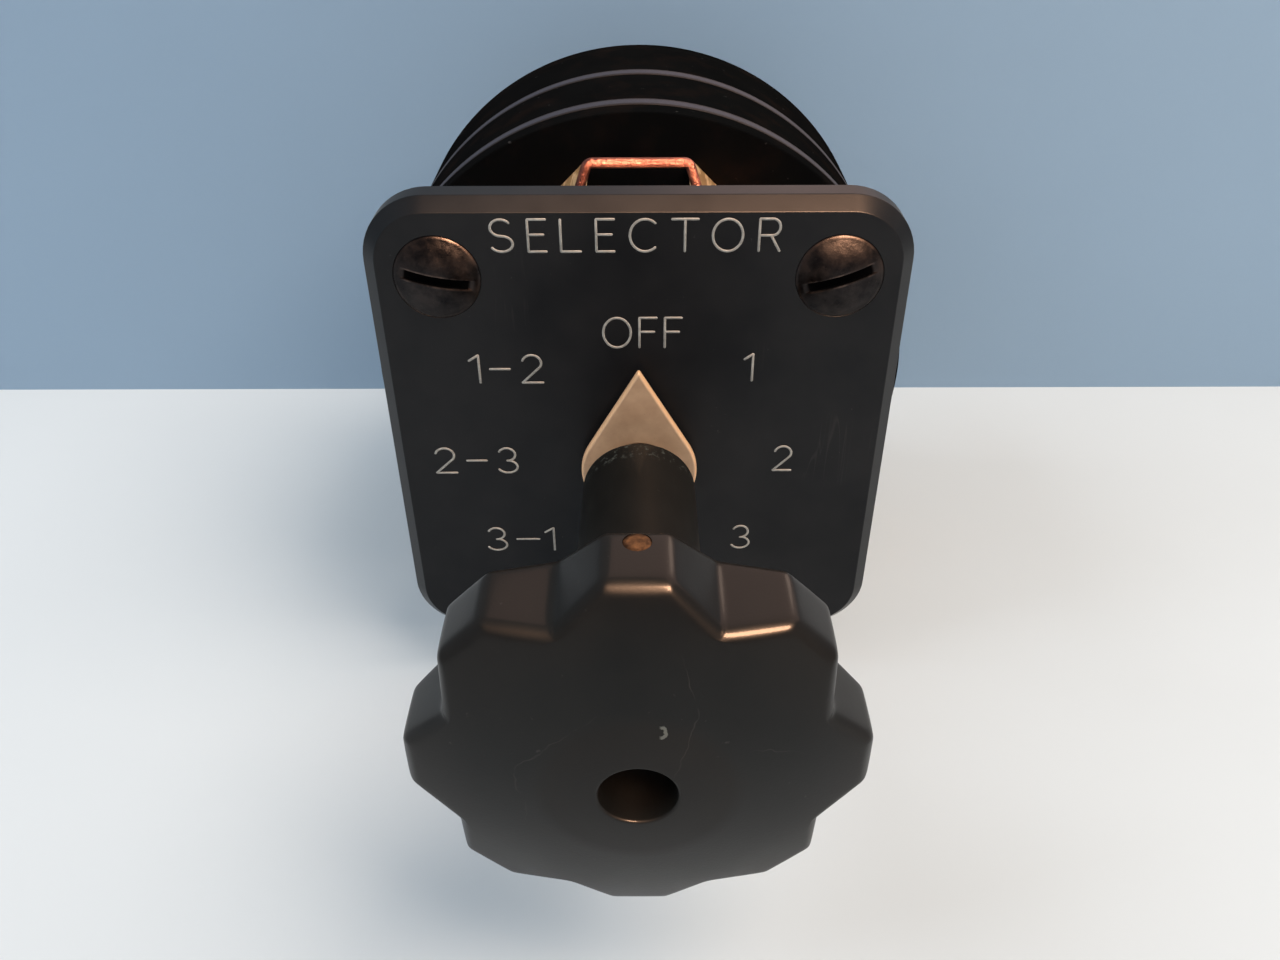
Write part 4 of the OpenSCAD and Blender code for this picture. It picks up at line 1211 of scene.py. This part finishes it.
side = [(SPRING_HALF, WIRE_TOP), arm_point(NOSE_HALF), (NOSE_X, 0.0), arm_point(-NOSE_HALF),
        arm_point(SPRING_FOOT)]
hat = [(-x, z) for x, z in reversed(side)] + side
spring = chain("hat_spring", [(x, WIRE_Y, z) for x, z in hat])
for bend_z, bend in ((WIRE_TOP, 0.6), (NOSE_HALF, 0.8), (0.0, 0.9), (-NOSE_HALF, 0.8)):
    pick(spring, "VERT", lambda c, v: near(c.z, bend_z))
    bpy.ops.mesh.bevel(offset=bend * MM, segments=6, affect="VERTICES")
hold(spring)
bpy.ops.object.convert(target="CURVE")
spring.data.dimensions = "3D"
thicken(spring.data, WIRE_R, 6)
polish(heal(spring), 50.0)
place(spring, BRONZE, "spring_bronze", "detent_spring")

# %% [markdown]
# The keepers behind the wire's shoulders are straps of yellow zinc-plated steel at 45 degrees.
# Each is a chain again, but here its edge is drawn back into a ribbon and Solidify gives the
# ribbon its thickness. A foot with a screw holds it on the front support.

# %% Fold the keepers
KEEPER = span("spring_keeper")
KEEPER_T = 1.05
KEEPER_IN = 7.0
KEEPER_DROP = 7.75
FOOT_W = 6.0
FOOT_H = 5.6


def strap(side):
    """One keeper, on the side where x is positive or negative."""
    obj = chain("keeper", [(side * KEEPER_IN, KEEPER.y0, KEEPER.z1),
                           (side * (KEEPER_IN + KEEPER_DROP), KEEPER.y0, KEEPER.z1 - KEEPER_DROP)])
    bpy.ops.mesh.select_all(action="SELECT")
    draw_out(0.0, KEEPER.y1 - KEEPER.y0, 0.0)
    apply(obj, "SOLIDIFY", thickness=KEEPER_T * MM, offset=-side)
    heal(obj)
    x0, x1 = sorted((side * (KEEPER.x1 - FOOT_W), side * KEEPER.x1))
    foot = block("foot", x0, x1, KEEPER.y1 - KEEPER_T, KEEPER.y1, KEEPER.z0, KEEPER.z0 + FOOT_H)
    weld(obj, round_edges(foot, "Y", 0.8, 5))
    return soften(obj, 0.16, 3, 50.0, 34.0)


place(joined("keeper_straps", [strap(-1), strap(1)]), YELLOW_ZINC, "yellow_zinc", "spring_keeper")


# %% Screws with cheese heads, for the keepers


def slotted_head(name, r, height, under, end, stem, slot_w, slot_d, turn):
    """A cheese-head screw along Y: its head ends at under, and its stem at end."""
    top = under - height
    screw = turned(name, [
        (0, top), (r * 0.6, top + 0.02), (r - 0.25, top + 0.07), (r - 0.07, top + 0.2),
        (r, top + 0.4), (r, under), (stem, under), (stem, end), (0, end)], 56)
    cut(screw, slot_tool(r + OVER, top - OVER, top + slot_d, slot_w, turn))
    return soften(screw, 0.05, 2, 38.0)


def pair(name, box, r, make):
    """A piece of radius r at both ends of a CAD box."""
    x, z = box.x1 - r, (box.z0 + box.z1) / 2
    return spots(name, [(-x, z), (x, z)], make)


SUPPORT = span("front_support")
KEEPER_HEAD_R = 2.3
keeper_screws = pair("keeper_screw_pair", span("keeper_screws"), KEEPER_HEAD_R, lambda i: slotted_head(
    "keeper_screw", KEEPER_HEAD_R, 1.4, KEEPER.y1 - KEEPER_T, SUPPORT.y1, 1.5, 0.6, 0.7, 62.0 - 80.0 * i))
place(keeper_screws, ZINC, "zinc_plate", "keeper_screws")

# %% Pegs and stop pins, with turned ends
for name, node, r, lip in (("hanger_pegs", "spring_pegs", 1.6, 0.25),
                           ("end_stop_pins", "stop_pins", 1.8, 0.3)):
    box = span(node)
    pegs = pair(name, box, r, lambda i: rod("peg", r, box.y0, box.y1, lip, 40))
    polish(pegs)
    place(pegs, DARK_STEEL, "dark_steel", node)

# %% [markdown]
# ## Behind the panel: the mounting plate, its posts and the bushing
# The head screws go through the panel into a zinc-plated steel plate. Four long bolts start
# in that plate, cross the posts and clamp the whole stack behind it.

# %% The mounting plate
BOLT_X = 26.289
BOLT_Z = 16.428
BOLTS = [(-BOLT_X, -BOLT_Z), (-BOLT_X, BOLT_Z), (BOLT_X, -BOLT_Z), (BOLT_X, BOLT_Z)]
BOLT_R = 2.0
BOLT_HEAD_R = 3.4
BOLT_HEAD_H = 1.4
BUSH_R = 4.75
BUSH_BORE = 3.22
MOUNT_CORNER = 5.0
through = (MOUNT.y0 - OVER, MOUNT.y1 + OVER)
mount = round_edges(block("steel_mounting_plate", *MOUNT), "Y", MOUNT_CORNER, 10)
countersink = [(0, through[0]), (BOLT_HEAD_R + 1.04, through[0]), (BOLT_R, MOUNT.y0 + BOLT_HEAD_H),
               (BOLT_R, through[1]), (0, through[1])]
cut(mount, rod("bush_hole", BUSH_R, *through),
    spots("tapped", SCREWS, lambda i: rod("tapped", THREAD_R, *through, steps=40)),
    spots("countersinks", BOLTS, lambda i: turned("countersink", countersink, 48)))
soften(mount, 0.14, 2)
place(mount, ZINC, "zinc_plate", "mounting_plate")

# %% The front bushing
bushing = turned("front_bushing", [
    (BUSH_BORE, BUSH.y0 + 0.3), (3.5, BUSH.y0), (BUSH_R - 0.3, BUSH.y0), (BUSH_R, BUSH.y0 + 0.3),
    (BUSH_R, MOUNT.y1), (BUSH.x1 - 0.1, MOUNT.y1), (BUSH.x1, MOUNT.y1 + 0.1), (BUSH.x1, BUSH.y1 - 0.12),
    (BUSH.x1 - 0.12, BUSH.y1), (3.4, BUSH.y1), (BUSH_BORE, BUSH.y1 - 0.15), (BUSH_BORE, BUSH.y0 + 0.3)])
polish(bushing)
place(bushing, BRASS, "brass", "shaft_bushing")

# %% Posts and bolts
POST = span("spacer_posts")
BOLT = span("tie_bolts")
NUT = span("tie_nuts")
POST_R = 3.5
bolt_profile = [(0, BOLT.y0), (BOLT_HEAD_R - 0.05, BOLT.y0), (BOLT_HEAD_R, BOLT.y0 + 0.08),
                (BOLT_R, MOUNT.y0 + BOLT_HEAD_H), (BOLT_R, NUT.y0)]
bolt_profile += threads(BOLT_R, NUT.y0 + 0.05, BOLT.y1 - 0.3, 0.55, 0.22)
bolt_profile += [(BOLT_R - 0.45, BOLT.y1), (0, BOLT.y1)]


def tie_bolt(i):
    """A countersunk bolt, slotted, with its thread cut under the nut and behind it."""
    bolt = turned("bolt", bolt_profile, 48)
    cut(bolt, slot_tool(4.5, BOLT.y0 - OVER, BOLT.y0 + 0.8, 0.9, (28.0, 75.0, -40.0, 10.0)[i]))
    return soften(bolt, 0.04, 2, 50.0, 40.0)


posts = spots("spacer_post_set", BOLTS,
              lambda i: collar("post", BOLT_R + 0.08, POST_R, POST.y0, POST.y1, 0.22, 48))
polish(posts)
place(posts, ZINC, "zinc_plate", "spacer_posts")
place(spots("long_tie_bolts", BOLTS, tie_bolt), ZINC, "zinc_plate", "tie_bolts")

# %% [markdown]
# ## The stack: black mouldings and grey fibre
# The body is a pile of round pieces of one diameter: a front support, two contact barrels
# with a fibre disc before each, and a rear plate. Each is a ring turned on the lathe, so its
# rims are already soft. The bolts' holes are drilled through, and the barrels get their
# pockets with a milling cutter, in the shape of a block.

# %% Round wafers
BODY_R = SUPPORT.x1
WAY_R = 6.5
JOURNAL_WAY_R = 4.0
HOLE_R = BOLT_R + 0.1


def wafer(name, node, r_in, lip):
    """One round piece of the stack with its bolt holes."""
    box = span(node)
    r, y0, y1 = box.x1, box.y0, box.y1
    ring = turned(name, [
        (r_in, y0), (r - lip, y0), (r - lip * 0.3, y0 + lip * 0.3), (r, y0 + lip), (r, y1 - lip),
        (r - lip * 0.3, y1 - lip * 0.3), (r - lip, y1), (r_in, y1), (r_in, y0)], 192)
    return cut(ring, spots("holes", BOLTS, lambda i: rod("hole", HOLE_R, y0 - OVER, y1 + OVER, steps=32)))


for name, node, r_in, lip in (("support_moulding", "front_support", WAY_R, 0.35),
                              ("fibre_disc_1", "barrier_disc_1", WAY_R, 0.18),
                              ("fibre_disc_2", "barrier_disc_2", WAY_R, 0.18),
                              ("rear_moulding", "rear_plate", JOURNAL_WAY_R, 0.5)):
    piece = wafer(name, node, r_in, lip)
    if "disc" in node:
        polish(piece)
        place(piece, GREY_FIBRE, "fibre", node)
    else:
        soften(piece, 0.12, 2, 40.0)
        place(piece, BLACK_BODY, "phenolic", node)

# %% Contact barrels with their terminal pockets
CAVITY_R = 25.5
POCKET_X = 30.4
POCKET_Z = (4.4, 15.2)
POCKET_W = 8.4
STRIP_Z = (6.4, 7.4)
STRIP_W = 5.0
TERMINAL_Z = 10.6
QUARTERS = [(side, half) for side in (-1, 1) for half in (-1, 1)]


def cutter(name, quarter, x, middle, width, z):
    """A block through a barrel's wall in one quarter, between two x and two z."""
    side, half = quarter
    return block(name, *sorted(side * v for v in x), middle - width / 2, middle + width / 2,
                 *sorted(half * v for v in z))


MIDDLES = []
for n in (1, 2):
    box = span(f"contact_barrel_{n}")
    middle = (box.y0 + box.y1) / 2
    MIDDLES.append(middle)
    barrel = wafer(f"barrel_moulding_{n}", f"contact_barrel_{n}", CAVITY_R, 0.35)
    pockets = [cutter("pocket", q, (POCKET_X, BODY_R + 3), middle, POCKET_W, POCKET_Z) for q in QUARTERS]
    slits = [cutter("slit", q, (CAVITY_R - 2, POCKET_X + 1), middle, STRIP_W, STRIP_Z) for q in QUARTERS]
    cut(barrel, round_edges(joined("pockets", pockets), "X", 0.7, 4), joined("slits", slits))
    soften(barrel, 0.22, 3, 35.0)
    place(barrel, BLACK_BODY, "phenolic", f"contact_barrel_{n}")

# %% [markdown]
# ## Terminals
# Each pocket holds the same three pieces: a brass strip bent up into a tab, a plated clamp
# and a screw. One set is made for the right upper pocket and mirrored to the other three.

# %% One terminal set, and its mirror copies
TERMINAL = span("terminals_1")
CLAMP = span("terminal_clamps_1")
T_SCREW = span("terminal_screws_1")
TAB_W = 6.4
STRIP_X0 = 20.7
CLAMP_T = 0.8
CLAMP_HALF = 3.4
T_HEAD_R = 2.9
T_STEM_R = 1.5
T_STEM_LONG = 26.2


def across(width):
    """Both sides of a strip of this width in the first barrel, along Y."""
    return MIDDLES[0] - width / 2, MIDDLES[0] + width / 2


def in_each_pocket(name, obj):
    """The piece in the right upper pocket of stage 1, with its three mirror copies, as one object."""
    right_low = mirrored(obj, "low", "Z")
    left = [mirrored(piece, "left", "X") for piece in (obj, right_low)]
    return joined(name, [obj, right_low, *left])


tab = block("tab", POCKET_X, TERMINAL.x1, *across(TAB_W), STRIP_Z[0], TERMINAL.z1)
weld(tab, block("strip", STRIP_X0, POCKET_X + 0.5, *across(STRIP_W), *STRIP_Z))
soften(tab, 0.22, 3)
clamp = block("clamp", CLAMP.x1 - CLAMP_T, CLAMP.x1, *across(TAB_W),
              TERMINAL_Z - CLAMP_HALF, TERMINAL_Z + CLAMP_HALF)
soften(round_edges(clamp, "X", 0.9, 4), 0.14, 2)

# The screw is made along Y, and then turned so that its head faces +X
t_head = T_SCREW.x1 - CLAMP.x1
t_end = T_SCREW.x1 - t_head - T_STEM_LONG
t_screw = slotted_head("terminal_screw", T_HEAD_R, t_head, 0.0, t_end, T_STEM_R, 0.75, 1.0, 28.0)
t_screw.rotation_euler = (0.0, 0.0, math.pi / 2)
t_screw.location = (CLAMP.x1 * MM, MIDDLES[0] * MM, TERMINAL_Z * MM)
settle(t_screw)

for obj, name, material, slot_name, node in (
        (tab, "terminal_tabs", BRASS, "brass", "terminals"),
        (clamp, "terminal_clamp_plates", ZINC, "zinc_plate", "terminal_clamps"),
        (t_screw, "terminal_screw_set", ZINC, "zinc_plate", "terminal_screws")):
    first = in_each_pocket(f"{name}_1", obj)
    second = moved(twin(first, f"{name}_2"), y=MIDDLES[1] - MIDDLES[0])
    place(first, material, slot_name, f"{node}_1")
    place(second, material, slot_name, f"{node}_2")

# %% [markdown]
# ## The rear end
# Split lock washers and chamfered nuts clamp the stack, and a brass bushing carries the
# shaft's rear journal.

# %% Lock washers, nuts and the rear bushing
LOCK = span("lock_washers")
REAR = span("rear_plate")
NUT_R = 4.05
NUT_FACE_R = 3.62
NUT_BORE_R = BOLT_R + 0.02


def lock_washer(i):
    """A ring with one slanting cut, which leaves its ends a little apart."""
    ring = collar("lock", BOLT_R + 0.05, LOCK.x1 - BOLT_X, LOCK.y0, LOCK.y1, 0.08, 48)
    saw = block("saw", -0.3, 0.3, LOCK.y0 - OVER, LOCK.y1 + OVER, 0.5, 5.0)
    edit(saw)
    pick(saw, "FACE", lambda c, f: near(c.y, LOCK.y1 + OVER))
    slide(1.2, 0.0, 0.0)
    cut(ring, saw)
    return moved(soften(ring, 0.06, 2), turn=(20.0, 150.0, 250.0, 75.0)[i])


def hex_nut(i):
    """A hexagon with both its faces chamfered by a turned shape, then bored."""
    y0, y1 = NUT.y0, NUT.y1
    nut = moved(prism("nut", 6, NUT_R, y0, y1), turn=(30.0, 12.0, 41.0, 22.0)[i])
    chamfer = turned("chamfer", [
        (0, y0), (NUT_FACE_R, y0), (4.3, y0 + 0.42), (4.3, y1 - 0.42), (NUT_FACE_R, y1), (0, y1)], 64)
    combine(nut, chamfer, "INTERSECT")
    cut(nut, turned("bore", [
        (0, y0 - OVER), (BOLT_R + 1.3, y0 - OVER), (NUT_BORE_R, y0 + 0.28), (NUT_BORE_R, y1 - 0.28),
        (BOLT_R + 1.3, y1 + OVER), (0, y1 + OVER)], 48))
    return soften(nut, 0.06, 2, 20.0)


place(spots("split_lock_washers", BOLTS, lock_washer), ZINC, "zinc_plate", "lock_washers")
place(spots("hexagon_nuts", BOLTS, hex_nut), ZINC, "zinc_plate", "tie_nuts")
flange, y0, y1 = REAR_BUSH.x1, REAR_BUSH.y0, REAR_BUSH.y1
rear_bush = turned("rear_bushing_turned", [
    (2.55, y0), (3.98, y0), (3.98, REAR.y1), (flange - 0.05, REAR.y1), (flange, REAR.y1 + 0.06),
    (flange, y1 - 0.12), (flange - 0.12, y1), (2.7, y1), (2.55, y1 - 0.12), (2.55, y0)])
polish(rear_bush)
place(rear_bush, BRASS, "brass", "rear_bushing")

# %% [markdown]
# ## Finishes on the pieces that stay
# The contacts and the stage rotors are deep inside, and their CAD shapes are right as they
# are. They only need their finishes.

# %% Dress the CAD nodes
for material, *parts in ((BRONZE, "contact_fingers"), (BRASS, "finger_rivets", "rotor_segments"),
                         (SILVER, "contact_tips"), (LAMINATE, "stage_rotor")):
    for node in (f"{part}_{n}" for part in parts for n in (1, 2)):
        for material_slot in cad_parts[node].material_slots:
            material_slot.material = material
        print("dressed:", node)

# %% [markdown]
# ## The studio
# A pale floor lies under the body, and a pale blue board stands behind it. The board can be
# seen from the front only, so that a view from behind isn't blocked. The sky is a pale blue
# white. Two lamps light the matt surfaces. Three warm ones only show as shine: on the front
# edges, on the tops, and as bright lines on the knob's crests.

# %% Floor and board
FLOOR_Z = -BODY_R
BOARD_Y = 78.0
ROOM = 6.0


def plain_finish(name, colour):
    """A plain painted surface with the faintest drift of tone."""
    f = Finish(name)
    f.done(f.coats([c * 0.96 for c in colour], (f.noise(0.02, 3.0), colour)), 0.6, Specular_IOR_Level=0.0)
    return f


def screen(name, finish, y, z, tilt):
    """A broad plane, as part of the studio."""
    clear()
    bpy.ops.mesh.primitive_plane_add(size=ROOM, location=(0, y * MM, z * MM), rotation=(tilt, 0, 0))
    obj = named(name)
    obj.data.materials.append(finish.material)
    obj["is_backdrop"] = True
    return obj


screen("studio_floor", plain_finish("floor_pale", (0.70, 0.71, 0.71)), 0.0, FLOOR_Z, 0.0)
blue = plain_finish("board_pale_blue", (0.33, 0.435, 0.55))
nodes, links = blue.tree.nodes, blue.tree.links
either = nodes.new("ShaderNodeMixShader")
links.new(nodes.new("ShaderNodeNewGeometry").outputs["Backfacing"], either.inputs["Fac"])
links.new(blue.shader.outputs["BSDF"], either.inputs[1])
links.new(nodes.new("ShaderNodeBsdfTransparent").outputs["BSDF"], either.inputs[2])
links.new(either.outputs["Shader"], nodes["Material Output"].inputs["Surface"])
board = screen("studio_board", blue, BOARD_Y, ROOM / 2 / MM + FLOOR_Z, math.pi / 2)
board.visible_diffuse = board.visible_glossy = board.visible_shadow = False

# %% Lamps and sky


def lamp(name, at, look, wide, high, watts, colour, shine):
    """A flat soft lamp, in mm and watts. It either shows as shine or lights matt surfaces."""
    clear()
    bpy.ops.object.light_add(type="AREA", location=[v * MM for v in at])
    light = bpy.context.object
    light.name = name
    light.data.shape = "RECTANGLE"
    light.data.size = wide * MM
    light.data.size_y = high * MM
    light.data.energy = watts
    light.data.color = colour
    aim = Vector(look) * MM - light.location
    light.rotation_euler = aim.to_track_quat("-Z", "Y").to_euler()
    light.visible_camera = False
    light.visible_diffuse = not shine
    light.visible_glossy = shine


lamp("soft_key", (240, -120, 410), (0, -20, 0), 340, 340, 2.6, (1.0, 0.90, 0.80), False)
lamp("cool_fill", (-430, -60, 380), (0, 0, 0), 360, 360, 1.9, (0.80, 0.90, 1.0), False)
lamp("warm_front", (115, -290, 335), (0, -40, 10), 170, 170, 12.5, (1.0, 0.56, 0.33), True)
lamp("warm_back", (230, 290, 400), (0, 0, 20), 760, 600, 2.0, (1.0, 0.60, 0.46), True)
lamp("warm_corner", (307, 438, 272), (0, -40, 0), 110, 110, 0.22, (1.0, 0.76, 0.60), True)
sky = bpy.data.worlds.new("soft_sky")
sky.use_nodes = True
sky.node_tree.nodes["Background"].inputs["Color"].default_value = (0.72, 0.86, 1.0, 1.0)
sky.node_tree.nodes["Background"].inputs["Strength"].default_value = 0.34
bpy.context.scene.world = sky
bpy.context.scene.view_settings.view_transform = "Standard"

# %% [markdown]
# ## The camera
# The camera stands in front of the knob and looks down on it by about 35 degrees.

# %% Camera place, turn and lens
CAMERA_AT = (0.49, -112.5, 73.16)
PITCH = math.radians(35.12)
ROLL = math.radians(-0.247)
YAW = math.radians(-0.209)
LENS = 29.13

# A new camera looks straight down: it is rolled, tilted up to its pitch below level, and turned
turns = ((-YAW, "Z"), (math.pi / 2 - PITCH, "X"), (ROLL, "Z"))
yawed, pitched, rolled = (Matrix.Rotation(angle, 3, axis) for angle, axis in turns)
clear()
bpy.ops.object.camera_add(location=[v * MM for v in CAMERA_AT],
                          rotation=(yawed @ pitched @ rolled).to_euler())
camera = bpy.context.object
camera.name = "front_camera"
camera.data.lens = LENS
camera.data.sensor_width = 36.0
camera.data.clip_start = 0.005
bpy.context.scene.camera = camera
print("camera at", CAMERA_AT, "mm, lens", LENS, "mm")

# %% [markdown]
# ## Measure and finish
# The dressed switch has to keep to the CAD model's box, so both boxes are written down side
# by side.

# %% Boxes and the last line
clear()
VISUAL_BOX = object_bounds()
print("pieces made:", len(MADE))
for axis, a0, a1, b0, b1 in zip("XYZ", *CAD_BOX, *VISUAL_BOX):
    print(f"{axis}: CAD {a0 / MM:.2f}..{a1 / MM:.2f}, dressed {b0 / MM:.2f}..{b1 / MM:.2f} mm")
